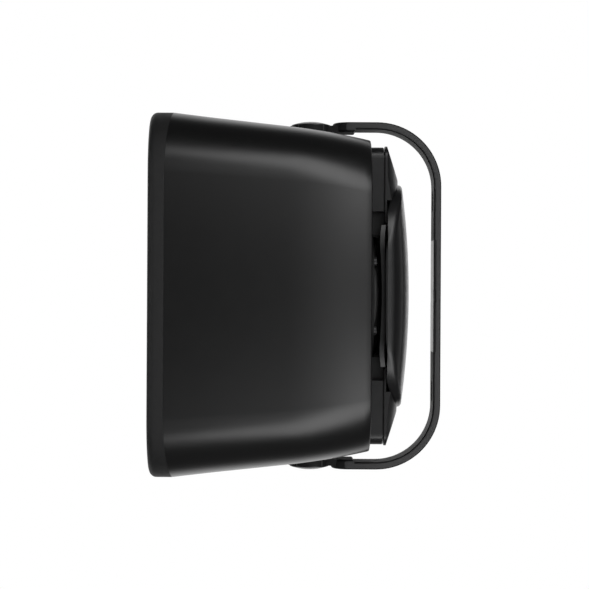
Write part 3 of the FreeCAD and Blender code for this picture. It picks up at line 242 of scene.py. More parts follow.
def bridge(bm, loops, closed=False):
    """Skin between each loop and the next one."""
    following = loops[1:] + (loops[:1] if closed else [])
    for first, second in zip(loops, following):
        bmesh.ops.bridge_loops(bm, edges=first + second)


def smooth_by_angle(mesh, degrees):
    for polygon in mesh.polygons:
        polygon.use_smooth = True
    mesh.set_sharp_from_angle(angle=math.radians(degrees))


def plain_object(name, bm):
    mesh = bpy.data.meshes.new(name)
    bm.to_mesh(mesh)
    bm.free()
    made = bpy.data.objects.new(name, mesh)
    bpy.context.scene.collection.objects.link(made)
    return made


def settle(piece):
    """Put the result of a piece's modifiers into its mesh."""
    bpy.context.view_layer.update()
    graph = bpy.context.evaluated_depsgraph_get()
    mesh = bpy.data.meshes.new_from_object(piece.evaluated_get(graph))
    piece.modifiers.clear()
    piece.data = mesh


def boolean(target, cutter, operation):
    """Join or cut the target's mesh with the cutter, which is then removed."""
    modifier = target.modifiers.new(operation.lower(), "BOOLEAN")
    modifier.operation = operation
    modifier.solver = "EXACT"
    modifier.object = cutter
    settle(target)
    bpy.data.objects.remove(cutter)


def thicken(piece, thickness):
    """Give a sheet its wall, behind the side that its faces point to."""
    modifier = piece.modifiers.new("wall", "SOLIDIFY")
    modifier.thickness = thickness
    modifier.offset = -1.0
    settle(piece)


def face_towards(bm, faces, facing):
    """Turn a sheet's faces so that most of its area points along an axis direction."""
    bmesh.ops.recalc_face_normals(bm, faces=faces)
    towards = sum(face.normal.dot(Vector(facing)) * face.calc_area() for face in faces)
    if towards < 0.0:
        bmesh.ops.reverse_faces(bm, faces=faces)


def dress(piece, body, slot, *replaced, angle=35.0):
    """Give a new piece its finish, its body and the nodes that it stands for."""
    smooth_by_angle(piece.data, angle)
    piece.data.materials.clear()
    piece.data.materials.append(bpy.data.materials[slot])
    if replaced:
        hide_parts(*replaced)
    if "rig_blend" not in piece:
        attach(piece, body)


def rods(bm, radius, start, end, places, axis="Z", segments=64):
    """Capped cylinders between two levels along one axis, at places given across it."""
    turn = {"Z": Matrix.Identity(4), "Y": Matrix.Rotation(math.radians(-90.0), 4, "X")}[axis]
    for place in places:
        middle = (start + end) / 2
        centre = Vector((place[0], place[1], middle)) if axis == "Z" else Vector((place[0], middle, place[1]))
        bmesh.ops.create_cone(bm, cap_ends=True, segments=segments, radius1=radius, radius2=radius,
                              depth=end - start, matrix=Matrix.Translation(centre) @ turn)


# Cabinet

def fall(taper, curve, sizes, run):
    """How far a wall has come in at a run behind the front edge."""
    slope = taper / sizes.taper_run
    tail = sizes.depth - sizes.taper_run
    bend = (curve - slope * tail) / tail ** 2
    past = max(0.0, run - sizes.taper_run)
    return slope * run + bend * past ** 2


def cabinet_section(sizes, run, inset):
    half_width = sizes.width / 2 - fall(sizes.side_taper, sizes.side_curve, sizes, run) - inset
    half_height = sizes.height / 2 - fall(sizes.top_taper, sizes.top_curve, sizes, run) - inset
    return half_width, half_height, sizes.corner - sizes.corner_loss * run / sizes.depth - inset


def seam_bow(sizes, z):
    """How far back the seam behind the grille lies at a height."""
    past = max(0.0, abs(z) - sizes.seam_start) / (sizes.height / 2 - sizes.seam_start)
    return sizes.seam_bow * past ** 2


def cabinet_loops(bm, sizes, inset, runs):
    loops = []
    for run in runs:
        loops.append(rounded_loop(bm, *cabinet_section(sizes, run, inset), SHELL_LOW.y + run))
        share = max(0.0, 1.0 - run / sizes.seam_run)
        for vert in loop_verts(loops[-1]):
            vert.co.y += share * (seam_bow(sizes, vert.co.z) - sizes.seam_fit)
    return loops


def build_cabinet(sizes):
    runs = [sizes.depth * step / sizes.stations for step in range(sizes.stations + 1)]
    bm = bmesh.new()
    outside = cabinet_loops(bm, sizes, 0.0, runs)
    inside = cabinet_loops(bm, sizes, sizes.wall, runs[::-1])
    bridge(bm, outside + inside, closed=True)
    bmesh.ops.recalc_face_normals(bm, faces=bm.faces)
    bmesh.ops.bevel(bm, geom=outside[-1], offset=sizes.edge, offset_type="OFFSET", segments=3,
                    profile=0.5, affect="EDGES", material=-1)
    cabinet = plain_object("cabinet", bm)

    core = bmesh.new()
    loops = cabinet_loops(core, sizes, sizes.wall / 3, runs)
    bridge(core, loops)
    for loop in (loops[0], loops[-1]):
        bmesh.ops.contextual_create(core, geom=loop)
    bmesh.ops.recalc_face_normals(core, faces=core.faces)

    floor = WASHER_LOW.z
    pivot = (WASHER_LOW.y + WASHER_HIGH.y) / 2
    above = sizes.height
    pans = bmesh.new()
    rods(pans, sizes.well_radius + sizes.wall, floor - sizes.wall, above, [(0.0, pivot)])
    rods(pans, sizes.well_radius + sizes.wall, -above, sizes.wall - floor, [(0.0, pivot)])
    pans = plain_object("pans", pans)
    boolean(pans, plain_object("core", core), "INTERSECT")
    boolean(cabinet, pans, "UNION")
    wells = bmesh.new()
    rods(wells, sizes.well_radius, floor, above, [(0.0, pivot)], segments=96)
    rods(wells, sizes.well_radius, -above, -floor, [(0.0, pivot)], segments=96)
    boolean(cabinet, plain_object("wells", wells), "DIFFERENCE")
    dress(cabinet, "loudspeaker", "cabinet", "cabinet_shell")


class LOUDSPEAKER_OT_cabinet(bpy.types.Operator):
    """Model the tapered cabinet with its two pivot wells"""
    bl_idname = "loudspeaker.cabinet"
    bl_label = "Cabinet"

    def execute(self, context):
        build_cabinet(context.scene.cabinet_sizes)
        return {"FINISHED"}


# Front grille

def crown_at(sizes, x):
    half_width = GRILLE_HIGH.x
    return sizes.crown * (1.0 - min(1.0, abs(x) / half_width) ** 2)


def grille_frame(bm, sizes, cabinet):
    """Edge return, rolled front edge and plain border, as one folded sheet."""
    half_width = GRILLE_HIGH.x
    half_height = GRILLE_HIGH.z
    corner = cabinet.corner
    face = GRILLE_LOW.y + sizes.crown
    loops = [rounded_loop(bm, half_width, half_height, corner, GRILLE_HIGH.y)]
    for step in range(EDGE_STEPS + 1):
        angle = math.radians(90.0 * step / EDGE_STEPS)
        inset = sizes.edge * (1.0 - math.cos(angle))
        y = face + sizes.edge * (1.0 - math.sin(angle))
        loops.append(rounded_loop(bm, half_width - inset, half_height - inset, corner - inset, y))
    for inset in (0.5 * (sizes.edge + sizes.border), sizes.border):
        loops.append(rounded_loop(bm, half_width - inset, half_height - inset, corner - inset, face))
    for loop in loops[1:]:
        for vert in loop_verts(loop):
            vert.co.y -= crown_at(sizes, vert.co.x)
    for vert in loop_verts(loops[0]):
        vert.co.y += seam_bow(cabinet, vert.co.z)
    bridge(bm, loops)
    return bm.faces[:]


def moved_copy(bm, faces, move):
    """Copy faces by a move and give the copy's faces."""
    copy = bmesh.ops.duplicate(bm, geom=faces)["geom"]
    bmesh.ops.translate(bm, vec=move, verts=[item for item in copy if isinstance(item, bmesh.types.BMVert)])
    return [item for item in copy if isinstance(item, bmesh.types.BMFace)]


def hole_field(bm, sizes, corner):
    """Staggered six-sided holes, one row of cells repeated over the face."""
    pitch = sizes.hole_pitch
    row_step = pitch * math.sqrt(0.75)
    half_width = GRILLE_HIGH.x - sizes.border + pitch
    half_height = GRILLE_HIGH.z - sizes.border + pitch
    columns = math.ceil(half_width / pitch)
    rows = math.ceil(half_height / row_step)
    lay_flat = Matrix.Rotation(math.radians(90.0), 4, "X") @ Matrix.Rotation(math.radians(30.0), 4, "Z")
    start = Matrix.Translation((-columns * pitch, 0.0, -rows * row_step))
    cell = bmesh.ops.create_circle(bm, cap_ends=True, segments=6, radius=pitch / math.sqrt(3.0),
                                   matrix=start @ lay_flat)
    hub = list({face for vert in cell["verts"] for face in vert.link_faces})
    bmesh.ops.inset_individual(bm, faces=hub, thickness=sizes.hole_wall / 2)
    ring = list({face for vert in cell["verts"] for face in vert.link_faces})
    bmesh.ops.delete(bm, geom=hub, context="FACES_ONLY")
    row = ring[:]
    for column in range(1, 2 * columns + 1):
        row += moved_copy(bm, ring, (column * pitch, 0.0, 0.0))
    field = row[:]
    for index in range(1, 2 * rows + 1):
        field += moved_copy(bm, row, (pitch / 2 * (index % 2), 0.0, index * row_step))
    reach = corner - sizes.border + pitch
    outside = []
    for face in field:
        middle = face.calc_center_median()
        past_x = max(0.0, abs(middle.x) - (half_width - reach))
        past_z = max(0.0, abs(middle.z) - (half_height - reach))
        if math.hypot(past_x, past_z) > reach:
            outside.append(face)
    bmesh.ops.delete(bm, geom=outside, context="FACES")
    kept = [face for face in field if face.is_valid]
    verts = list({vert for face in kept for vert in face.verts})
    bmesh.ops.remove_doubles(bm, verts=verts, dist=pitch * 0.02)
    kept = [face for face in kept if face.is_valid]
    level = GRILLE_LOW.y + sizes.crown + sizes.set_back
    for vert in {vert for face in kept for vert in face.verts}:
        vert.co.y = level - crown_at(sizes, vert.co.x)
    return kept


def build_grille(sizes, cabinet):
    bm = bmesh.new()
    face_towards(bm, grille_frame(bm, sizes, cabinet), (0.0, -1.0, 0.0))
    field = hole_field(bm, sizes, cabinet.corner)
    bm.normal_update()
    bmesh.ops.reverse_faces(bm, faces=[face for face in field if face.normal.y > 0.0])
    grille = plain_object("grille", bm)
    thicken(grille, sizes.sheet)
    dress(grille, "loudspeaker", "grille_paint", "front_grille")


class LOUDSPEAKER_OT_grille(bpy.types.Operator):
    """Model the front grille with its rolled edge and fine holes"""
    bl_idname = "loudspeaker.grille"
    bl_label = "Front Grille"

    def execute(self, context):
        build_grille(context.scene.grille_sizes, context.scene.cabinet_sizes)
        return {"FINISHED"}


# Rear cover and clip-on strip

def cover_face(sizes, x, z):
    """Place along the depth of the cover's pillow-shaped face."""
    crown = COVER_HIGH.y - sizes.cover_arc + math.sqrt(sizes.cover_arc ** 2 - z ** 2)
    share = min(1.0, abs(x) / COVER_HIGH.x) ** sizes.cover_fullness
    return COVER_LOW.y + (crown - COVER_LOW.y) * (1.0 - share) ** (1.0 / sizes.cover_fullness)


def cover_loop(bm, sizes, inset, sink, narrow=1.0, shorten=1.0):
    """Rounded outline laid on the cover's face, with its straight sides divided."""
    known = set(bm.edges)
    edges = rounded_loop(bm, COVER_HIGH.x - inset, COVER_HIGH.z - inset, sizes.cover_corner - inset, 0.0)
    straight = [edge for edge in edges if min(abs(edge.verts[0].co.x - edge.verts[1].co.x),
                                              abs(edge.verts[0].co.z - edge.verts[1].co.z)) < TOUCH]
    bmesh.ops.subdivide_edges(bm, edges=straight, cuts=SIDE_CUTS)
    loop = [edge for edge in bm.edges if edge not in known]
    for vert in loop_verts(loop):
        vert.co.x *= narrow
        vert.co.z *= shorten
        vert.co.y = max(COVER_LOW.y, cover_face(sizes, vert.co.x, vert.co.z) - sink)
    return loop


def build_cover(sizes):
    """Side, rounding and face as loops that close in on the ridge along the cover's middle."""
    bm = bmesh.new()
    edge = sizes.cover_edge
    loops = [cover_loop(bm, sizes, 0.0, sizes.cover_side)]
    for step in range(ROUNDING_STEPS + 1):
        angle = math.radians(90.0 * step / ROUNDING_STEPS)
        loops.append(cover_loop(bm, sizes, edge * (1.0 - math.cos(angle)), edge * (1.0 - math.sin(angle))))
    middle = sizes.cover_corner - edge
    for step in range(1, FACE_STEPS + 1):
        loops.append(cover_loop(bm, sizes, edge + (middle - edge) * step / FACE_STEPS, 0.0))
    loops.append(cover_loop(bm, sizes, middle, 0.0, narrow=0.0, shorten=RIDGE_SHARE))
    bridge(bm, loops)
    bmesh.ops.remove_doubles(bm, verts=bm.verts, dist=TOUCH)
    face_towards(bm, bm.faces[:], (0.0, 1.0, 0.0))
    cover = plain_object("cover", bm)
    thicken(cover, sizes.cover_wall)
    dress(cover, "loudspeaker", "rear_moulding", "rear_cover", angle=50.0)


def block(bm, low, high):
    """Plain box between two corners."""
    size = Vector(high) - Vector(low)
    middle = (Vector(low) + Vector(high)) / 2
    bmesh.ops.create_cube(bm, size=1.0, matrix=Matrix.Translation(middle) @ Matrix.Diagonal((*size, 1.0)))


def build_clip(sizes):
    """Strip with rounded long edges, two pegs and a prying notch at each side."""
    back = CLIP_LOW.y + sizes.clip_thick
    end = CLIP_HIGH.z + sizes.clip_fit
    bm = bmesh.new()
    block(bm, (CLIP_LOW.x, CLIP_LOW.y, -end), (CLIP_HIGH.x, back, end))
    long_edges = [edge for edge in bm.edges if all(abs(vert.co.y - CLIP_LOW.y) < TOUCH for vert in edge.verts)
                  and edge.verts[0].co.x == edge.verts[1].co.x]
    bmesh.ops.bevel(bm, geom=long_edges, offset=sizes.clip_edge, offset_type="OFFSET", segments=4,
                    profile=0.5, affect="EDGES", material=-1)
    clip = plain_object("clip", bm)
    pegs = bmesh.new()
    rods(pegs, sizes.peg_radius, back - sizes.clip_edge, CLIP_HIGH.y,
         [(0.0, sizes.peg_place), (0.0, -sizes.peg_place)], axis="Y", segments=48)
    boolean(clip, plain_object("pegs", pegs), "UNION")
    notches = bmesh.new()
    for side in (1.0, -1.0):
        across = sorted((side * (CLIP_HIGH.x - sizes.notch_depth), side * 2.0 * CLIP_HIGH.x))
        block(notches, (across[0], 2.0 * CLIP_LOW.y, -sizes.notch_length / 2),
              (across[1], back, sizes.notch_length / 2))
    boolean(clip, plain_object("notches", notches), "DIFFERENCE")
    dress(clip, "bracket", "rear_moulding", "screw_cover")


class LOUDSPEAKER_OT_rear(bpy.types.Operator):
    """Model the rear cover with its rounded edge and the clip-on strip inside the bracket"""
    bl_idname = "loudspeaker.rear"
    bl_label = "Rear Cover"

    def execute(self, context):
        build_cover(context.scene.rear_sizes)
        build_clip(context.scene.rear_sizes)
        return {"FINISHED"}


# Rubber rolls

def quarter_roll(name, radius, width, rubber, foot, facing, z, turns, inner):
    """Half of a half-round roll: from its foot to its crest, turned about the driver's axis."""
    bm = bmesh.new()
    middle = radius + width / 2
    start = radius if inner else radius + width
    seed = bm.verts.new((start, foot, z))
    quarter = math.radians(90.0) * facing * (1.0 if inner else -1.0)
    bmesh.ops.spin(bm, geom=[seed], cent=(middle, foot, z), axis=(0.0, 0.0, -1.0), dvec=(0.0, 0.0, 0.0),
                   angle=quarter, steps=ROLL_STEPS, use_merge=False, use_duplicate=False)
    bmesh.ops.spin(bm, geom=bm.verts[:] + bm.edges[:], cent=(0.0, 0.0, z), axis=(0.0, 1.0, 0.0),
                   dvec=(0.0, 0.0, 0.0), angle=math.radians(360.0), steps=turns, use_merge=True,
                   use_duplicate=False)
    bmesh.ops.remove_doubles(bm, verts=bm.verts, dist=TOUCH)
    face_towards(bm, bm.faces[:], (0.0, facing, 0.0))
    band = plain_object(name, bm)
    thicken(band, rubber)
    return band


def build_roll(label, low, high, width, facing, moving, node, sizes):
    """Two bands that meet at the crest, so that the roll bends when its driver moves."""
    radius = (high.x - low.x) / 2 - width
    z = (low.z + high.z) / 2
    foot = high.y if facing < 0 else low.y
    crest = foot + facing * width
    for inner, still in ((True, moving), (False, "loudspeaker")):
        other = "loudspeaker" if inner else moving
        name = label + ("_inner_band" if inner else "_outer_band")
        band = quarter_roll(name, radius, width, sizes.rubber, foot, facing, z, sizes.turns, inner)
        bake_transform(band, still, other, start=(0.0, foot, z), end=(0.0, crest, z))
        dress(band, "loudspeaker", "rubber", node, angle=60.0)


class LOUDSPEAKER_OT_rolls(bpy.types.Operator):
    """Model the half-round rubber rolls of the woofer and the passive radiator"""
    bl_idname = "loudspeaker.rolls"
    bl_label = "Rubber Rolls"

    def execute(self, context):
        sizes = context.scene.driver_sizes
        build_roll("woofer_roll", WOOFER_LOW, WOOFER_HIGH, sizes.woofer_roll, -1, "woofer_cone",
                   "woofer_surround", sizes)
        build_roll("radiator_roll", RADIATOR_LOW, RADIATOR_HIGH, sizes.radiator_roll, 1, "radiator",
                   "radiator_surround", sizes)
        return {"FINISHED"}


# Finishes

def shader_tree(name):
    material = bpy.data.materials.get(name) or bpy.data.materials.new(name)
    material.use_nodes = True
    tree = material.node_tree
    tree.nodes.clear()
    output = tree.nodes.new("ShaderNodeOutputMaterial")
    shader = tree.nodes.new("ShaderNodeBsdfPrincipled")
    tree.links.new(shader.outputs["BSDF"], output.inputs["Surface"])
    where = tree.nodes.new("ShaderNodeTexCoord")
    return tree, shader, where.outputs["Object"]


def noise(tree, where, size, detail=3.0, roughness=0.55):
    node = tree.nodes.new("ShaderNodeTexNoise")
    node.inputs["Scale"].default_value = 1.0 / size
    node.inputs["Detail"].default_value = detail
    node.inputs["Roughness"].default_value = roughness
    tree.links.new(where, node.inputs["Vector"])
    return node.outputs["Fac"]


def spread(tree, value, low, high):
    """Map a texture's middle range to a range of values."""
    node = tree.nodes.new("ShaderNodeMapRange")
    node.interpolation_type = "SMOOTHSTEP"
    node.inputs["From Min"].default_value = 0.2
    node.inputs["From Max"].default_value = 0.8
    node.inputs["To Min"].default_value = low
    node.inputs["To Max"].default_value = high
    tree.links.new(value, node.inputs["Value"])
    return node.outputs["Result"]


def blend_colours(tree, factor, first, second):
    node = tree.nodes.new("ShaderNodeMix")
    node.data_type = "RGBA"
    node.inputs["A"].default_value = (*first, 1.0)
    node.inputs["B"].default_value = (*second, 1.0)
    tree.links.new(factor, node.inputs["Factor"])
    return node.outputs["Result"]


def bump(tree, shader, height, depth, strength=1.0, under=None):
    node = tree.nodes.new("ShaderNodeBump")
    node.inputs["Strength"].default_value = strength
    node.inputs["Distance"].default_value = depth
    tree.links.new(height, node.inputs["Height"])
    if under is not None:
        tree.links.new(under, node.inputs["Normal"])
    tree.links.new(node.outputs["Normal"], shader.inputs["Normal"])
    return node.outputs["Normal"]


def coated(name, base, roughness, grain, depth, mottle=0.012, metallic=0.0, level=0.5):
    """A moulded or coated surface: faint cloudy colour, uneven gloss and, with a depth, a fine grain."""
    tree, shader, where = shader_tree(name)
    clouds = noise(tree, where, mottle)
    darker = tuple(0.86 * part for part in base)
    lighter = tuple(1.14 * part for part in base)
    tree.links.new(blend_colours(tree, clouds, darker, lighter), shader.inputs["Base Color"])
    tree.links.new(spread(tree, noise(tree, where, mottle * 0.4), *roughness), shader.inputs["Roughness"])
    if depth > 0.0:
        bump(tree, shader, noise(tree, where, grain, detail=2.0), depth)
    shader.inputs["Metallic"].default_value = metallic
    shader.inputs["Specular IOR Level"].default_value = level
    return tree, shader, where


def ringed(name, base, roughness, ring, depth, axis="Y", centre=(0.0, 0.0, 0.0), metallic=0.0):
    """A turned, wound or pressed surface with fine rings about an axis along the depth."""
    tree, shader, where = shader_tree(name)
    place = tree.nodes.new("ShaderNodeMapping")
    place.inputs["Location"].default_value = tuple(-part for part in centre)
    tree.links.new(where, place.inputs["Vector"])
    wave = tree.nodes.new("ShaderNodeTexWave")
    wave.wave_type = "RINGS"
    wave.rings_direction = axis
    wave.inputs["Scale"].default_value = 0.314 / ring
    wave.inputs["Distortion"].default_value = 0.4
    wave.inputs["Detail"].default_value = 1.0
    tree.links.new(place.outputs["Vector"], wave.inputs["Vector"])
    clouds = noise(tree, where, 0.006)
    darker = tuple(0.82 * part for part in base)
    lighter = tuple(1.12 * part for part in base)
    tree.links.new(blend_colours(tree, clouds, darker, lighter), shader.inputs["Base Color"])
    tree.links.new(spread(tree, clouds, *roughness), shader.inputs["Roughness"])
    bump(tree, shader, wave.outputs["Fac"], depth, 0.6)
    shader.inputs["Metallic"].default_value = metallic
    return tree, shader, where


def painted_side_sheen(tree, shader, where, reach, edge):
    """Painted sheen: a lighter colour on the two flat sides of a strip, at a reach from its middle, standing in for
    the reflection of the lamps that these sides catch.
    """
    axes = tree.nodes.new("ShaderNodeSeparateXYZ")
    tree.links.new(where, axes.inputs["Vector"])
    across = tree.nodes.new("ShaderNodeMath")
    across.operation = "ABSOLUTE"
    tree.links.new(axes.outputs["X"], across.inputs[0])
    share = tree.nodes.new("ShaderNodeMath")
    share.operation = "COMPARE"
    share.inputs[1].default_value = reach
    share.inputs[2].default_value = 0.0003
    tree.links.new(across.outputs["Value"], share.inputs[0])
    mix = tree.nodes.new("ShaderNodeMix")
    mix.data_type = "RGBA"
    tree.links.new(share.outputs["Value"], mix.inputs["Factor"])
    tree.links.new(shader.inputs["Base Color"].links[0].from_socket, mix.inputs["A"])
    mix.inputs["B"].default_value = (*edge, 1.0)
    tree.links.new(mix.outputs["Result"], shader.inputs["Base Color"])


def build_finishes(colours, sizes):
    coated("cabinet", colours.cabinet, (0.29, 0.31), 0.0006, 0.0, mottle=0.03)
    coated("grille_paint", colours.grille, (0.58, 0.68), 0.0005, 0.00002)
    bracket = coated("bracket_paint", colours.bracket, (0.55, 0.65), 0.0009, 0.00001, level=0.2)
    # Painted sheen on the bracket strip's two flat sides, standing in for their reflection of the lamps.
    painted_side_sheen(*bracket, sizes.strip_width / 2, colours.bracket_side_sheen)
    coated("rear_moulding", colours.rear, (0.28, 0.36), 0.0006, 0.000008)
    coated("baffle_plastic", (0.006, 0.006, 0.0062), (0.5, 0.62), 0.0007, 0.00003, level=0.2)
    coated("rubber", colours.rubber, (0.48, 0.6), 0.0012, 0.00002)
    coated("black_steel", (0.018, 0.018, 0.019), (0.3, 0.42), 0.0008, 0.00001)
    coated("magnet", (0.03, 0.029, 0.03), (0.55, 0.75), 0.0009, 0.00005)
    coated("board", (0.012, 0.07, 0.03), (0.32, 0.42), 0.002, 0.00002)
    coated("ceramic", (0.72, 0.7, 0.64), (0.6, 0.8), 0.0012, 0.00004)
    coated("can", (0.55, 0.56, 0.58), (0.25, 0.35), 0.003, 0.00001, metallic=0.9)
    woofer = (0.0, 0.0, (WOOFER_LOW.z + WOOFER_HIGH.z) / 2)
    ringed("cone", colours.cone, (0.4, 0.55), 0.0022, 0.00004, centre=woofer)
    ringed("spider", (0.32, 0.2, 0.07), (0.7, 0.85), 0.0016, 0.00003, centre=woofer)
    ringed("steel", (0.5, 0.5, 0.52), (0.28, 0.4), 0.0008, 0.00001, metallic=1.0)
    ringed("copper", (0.72, 0.33, 0.16), (0.25, 0.38), 0.0006, 0.00004, metallic=1.0)
    ringed("brass", (0.66, 0.5, 0.2), (0.25, 0.36), 0.0007, 0.00001, metallic=1.0)
    ringed("dome_metal", colours.dome, (0.3, 0.4), 0.0009, 0.00001, metallic=0.8)


def ease_edges(node, width):
    """Round the sharp edges of a moulded solid."""
    modifier = node.modifiers.new("eased_edges", "BEVEL")
    modifier.width = width
    modifier.segments = 3
    modifier.limit_method = "ANGLE"
    modifier.angle_limit = math.radians(40.0)


class LOUDSPEAKER_OT_finishes(bpy.types.Operator):
    """Make the finishes and put them on the solids that stay"""
    bl_idname = "loudspeaker.finishes"
    bl_label = "Finishes"

    def execute(self, context):
        build_finishes(context.scene.finish_colours, context.scene.cabinet_sizes)
        for node in frame["nodes"].values():
            slot = node.material_slots[0].material.name.split(".")[0]
            node.material_slots[0].material = bpy.data.materials[slot]
        for name in ("rear_cap_upper", "rear_cap_lower"):
            ease_edges(frame["nodes"][name], context.scene.cabinet_sizes.edge)
        return {"FINISHED"}


# Studio

def area_light(name, place, target, width, height, radiance, lean=0.0):
    """Soft box that faces the target, leans in its own plane and is evenly bright all over its face."""
    lamp = bpy.data.lights.new(name, "AREA")
    lamp.shape = "RECTANGLE"
    lamp.size = width
    lamp.size_y = height
    lamp.energy = radiance * math.pi * width * height
    made = bpy.data.objects.new(name, lamp)
    bpy.context.scene.collection.objects.link(made)
    place = Vector(place)
    ahead = (Vector(target) - place).normalized()
    side = Vector((0.0, 1.0, 0.0))
    side = (side - ahead * side.dot(ahead)).normalized()
    up = side.cross(ahead)
    turn = Matrix((side, up, -ahead)).transposed().to_4x4()
    made.matrix_world = Matrix.Translation(place) @ turn @ Matrix.Rotation(math.radians(lean), 4, "Z")
    made.visible_camera = False


def math_node(tree, operation, first, second):
    node = tree.nodes.new("ShaderNodeMath")
    node.operation = operation
    tree.links.new(first, node.inputs[0])
    tree.links.new(second, node.inputs[1])
    return node.outputs["Value"]


def white_share(tree, where, near, far):
    """Share of white: all of it straight to the camera, in reflections the backdrop behind the object."""
    rays = tree.nodes.new("ShaderNodeLightPath")
    axes = tree.nodes.new("ShaderNodeSeparateXYZ")
    tree.links.new(where, axes.inputs["Vector"])
    behind = tree.nodes.new("ShaderNodeMapRange")
    behind.interpolation_type = "SMOOTHSTEP"
    behind.inputs["From Min"].default_value = far
    behind.inputs["From Max"].default_value = near
    behind.inputs["To Min"].default_value = 1.0
    behind.inputs["To Max"].default_value = 0.0
    tree.links.new(axes.outputs["X"], behind.inputs["Value"])
    mirrored = math_node(tree, "MAXIMUM", rays.outputs["Is Glossy Ray"], rays.outputs["Is Transmission Ray"])
    shown = math_node(tree, "MULTIPLY", mirrored, behind.outputs["Result"])
    return math_node(tree, "MAXIMUM", rays.outputs["Is Camera Ray"], shown)


def build_world(settings):
    world = bpy.data.worlds.new("room")
    bpy.context.scene.world = world
    world.use_nodes = True
    tree = world.node_tree
    tree.nodes.clear()
    output = tree.nodes.new("ShaderNodeOutputWorld")
    mix = tree.nodes.new("ShaderNodeMixShader")
    where = tree.nodes.new("ShaderNodeTexCoord")
    room = tree.nodes.new("ShaderNodeBackground")
    room.inputs["Strength"].default_value = settings.room
    white = tree.nodes.new("ShaderNodeBackground")
    white.inputs["Color"].default_value = (1.0, 1.0, 1.0, 1.0)
    white.inputs["Strength"].default_value = 1.0
    room.inputs["Color"].default_value = (1.0, 1.0, 1.0, 1.0)
    tree.links.new(white_share(tree, where.outputs["Generated"], near=-0.5, far=-0.85), mix.inputs["Fac"])
    tree.links.new(room.outputs["Background"], mix.inputs[1])
    tree.links.new(white.outputs["Background"], mix.inputs[2])
    tree.links.new(mix.outputs["Shader"], output.inputs["Surface"])


def stage_material(name, near, far):
    """A pale floor that keeps shadows near the object and goes over into the white background."""
    material = bpy.data.materials.new(name)
    material.use_nodes = True
    tree = material.node_tree
    tree.nodes.clear()
    output = tree.nodes.new("ShaderNodeOutputMaterial")
    pale = tree.nodes.new("ShaderNodeBsdfDiffuse")
    pale.inputs["Color"].default_value = (0.85, 0.85, 0.85, 1.0)
    glow = tree.nodes.new("ShaderNodeEmission")
    glow.inputs["Strength"].default_value = 0.8
    both = tree.nodes.new("ShaderNodeAddShader")
    where = tree.nodes.new("ShaderNodeTexCoord")
    seen = white_share(tree, where.outputs["Object"], near=-0.8, far=-2.0)
    mix = tree.nodes.new("ShaderNodeMixShader")
    tree.links.new(pale.outputs["BSDF"], both.inputs[0])
    tree.links.new(glow.outputs["Emission"], both.inputs[1])
    tree.links.new(seen, mix.inputs["Fac"])
    tree.links.new(pale.outputs["BSDF"], mix.inputs[1])
    tree.links.new(both.outputs["Shader"], mix.inputs[2])

    away = tree.nodes.new("ShaderNodeVectorMath")
    away.operation = "LENGTH"
    fade = tree.nodes.new("ShaderNodeMapRange")
    fade.interpolation_type = "SMOOTHSTEP"
    fade.inputs["From Min"].default_value = near
    fade.inputs["From Max"].default_value = far
    white = tree.nodes.new("ShaderNodeEmission")
    beyond = tree.nodes.new("ShaderNodeMixShader")
    tree.links.new(where.outputs["Object"], away.inputs[0])
    tree.links.new(away.outputs["Value"], fade.inputs["Value"])
    tree.links.new(math_node(tree, "MULTIPLY", fade.outputs["Result"], seen), beyond.inputs["Fac"])
    tree.links.new(mix.outputs["Shader"], beyond.inputs[1])
    tree.links.new(white.outputs["Emission"], beyond.inputs[2])
    tree.links.new(beyond.outputs["Shader"], output.inputs["Surface"])
    return material


def build_studio(settings):
    scene = bpy.context.scene
    scene.view_settings.view_transform = "Standard"
    build_world(settings)
    bm = bmesh.new()
    bmesh.ops.create_grid(bm, x_segments=1, y_segments=1, size=6.0,
                          matrix=Matrix.Translation((0.0, 0.0, -settings.floor_drop)))
    floor = plain_object("floor", bm)
    floor.data.materials.append(stage_material("pale_floor", near=2.1, far=3.6))

    middle = (0.0, settings.camera_y, 0.0)
    strip = settings.strip_radiance
    area_light("strip_above", (0.62, 0.25, 0.445), middle, 0.74, 0.33, strip, -42.0)
    area_light("strip_below", (0.60, 0.25, -0.425), middle, 0.74, 0.33, strip, 42.0)
    area_light("skirt_above", (0.75, 0.12, 0.23), middle, 0.5, 0.26, settings.skirt_radiance, -20.0)
    area_light("skirt_below", (0.75, 0.12, -0.22), middle, 0.5, 0.26, settings.skirt_radiance, 20.0)
    area_light("fill_rear", (0.75, 0.95, 0.0), middle, 0.8, 1.1, settings.fill_radiance)
    area_light("front_fill", (1.7, -0.45, 0.0), middle, 0.7, 0.9, settings.front_radiance)
    area_light("front_side", (0.45, -1.1, 0.0), middle, 0.5, 1.1, settings.front_side_radiance)
    area_light("far_side", (-0.95, -0.9, 0.25), middle, 0.8, 0.9, settings.front_side_radiance)
    area_light("rim_above", (-0.85, 0.28, 0.58), middle, 0.9, 0.7, settings.rim_radiance)
    area_light("rim_below", (-0.8, 0.2, -0.6), middle, 1.0, 0.75, settings.rim_radiance * 1.2)
    area_light("rim_rear", (-0.85, 0.3, 0.0), middle, 0.36, 0.5, settings.rim_radiance * 1.4)

    camera = bpy.data.objects.new("camera", bpy.data.cameras.new("camera"))
    scene.collection.objects.link(camera)
    camera.data.lens = settings.lens
    camera.data.sensor_width = 36.0
    camera.data.clip_start = 0.01
    camera.data.clip_end = 50.0
    facing = Matrix.Rotation(math.radians(90.0), 4, "Z") @ Matrix.Rotation(math.radians(90.0), 4, "X")
    place = Matrix.Translation((settings.distance, settings.camera_y, settings.camera_z))
    camera.matrix_world = place @ facing @ Matrix.Rotation(settings.roll, 4, "Z")
    scene.camera = camera


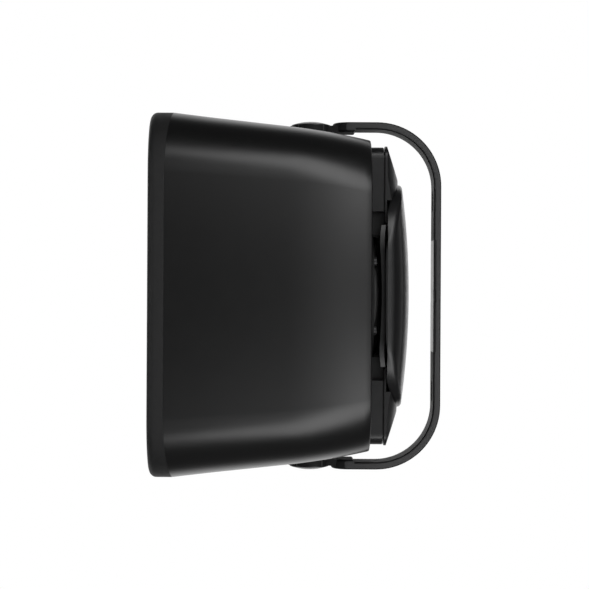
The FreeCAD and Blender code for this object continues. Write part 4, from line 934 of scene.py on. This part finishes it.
class LOUDSPEAKER_OT_studio(bpy.types.Operator):
    """Set up the floor, the soft boxes and the camera"""
    bl_idname = "loudspeaker.studio"
    bl_label = "Studio"

    def execute(self, context):
        build_studio(context.scene.studio_settings)
        return {"FINISHED"}


OPERATORS = (LOUDSPEAKER_OT_finishes, LOUDSPEAKER_OT_cabinet, LOUDSPEAKER_OT_grille, LOUDSPEAKER_OT_rear,
             LOUDSPEAKER_OT_rolls, LOUDSPEAKER_OT_studio)
GROUPS = {"cabinet_sizes": CabinetSizes, "grille_sizes": GrilleSizes, "driver_sizes": DriverSizes,
          "rear_sizes": RearSizes, "finish_colours": FinishColours, "studio_settings": StudioSettings}


class LOUDSPEAKER_PT_pieces(bpy.types.Panel):
    """Pieces of the loudspeaker and their sizes"""
    bl_idname = "LOUDSPEAKER_PT_pieces"
    bl_label = "Loudspeaker"
    bl_space_type = "VIEW_3D"
    bl_region_type = "UI"
    bl_category = "Loudspeaker"

    def draw(self, context):
        for operator in OPERATORS:
            self.layout.operator(operator.bl_idname)
        for name in GROUPS:
            group = getattr(context.scene, name)
            box = self.layout.box()
            for key in group.__annotations__:
                box.prop(group, key)


def register():
    for group in GROUPS.values():
        bpy.utils.register_class(group)
    for operator in OPERATORS:
        bpy.utils.register_class(operator)
    bpy.utils.register_class(LOUDSPEAKER_PT_pieces)
    for name, group in GROUPS.items():
        setattr(bpy.types.Scene, name, PointerProperty(type=group))


def unregister():
    for name in GROUPS:
        delattr(bpy.types.Scene, name)
    bpy.utils.unregister_class(LOUDSPEAKER_PT_pieces)
    for operator in reversed(OPERATORS):
        bpy.utils.unregister_class(operator)
    for group in reversed(GROUPS.values()):
        bpy.utils.unregister_class(group)


def main():
    register()
    bpy.ops.loudspeaker.finishes()
    bpy.ops.loudspeaker.cabinet()
    bpy.ops.loudspeaker.grille()
    bpy.ops.loudspeaker.rear()
    bpy.ops.loudspeaker.rolls()
    bpy.ops.loudspeaker.studio()


if __name__ == "__main__":
    main()
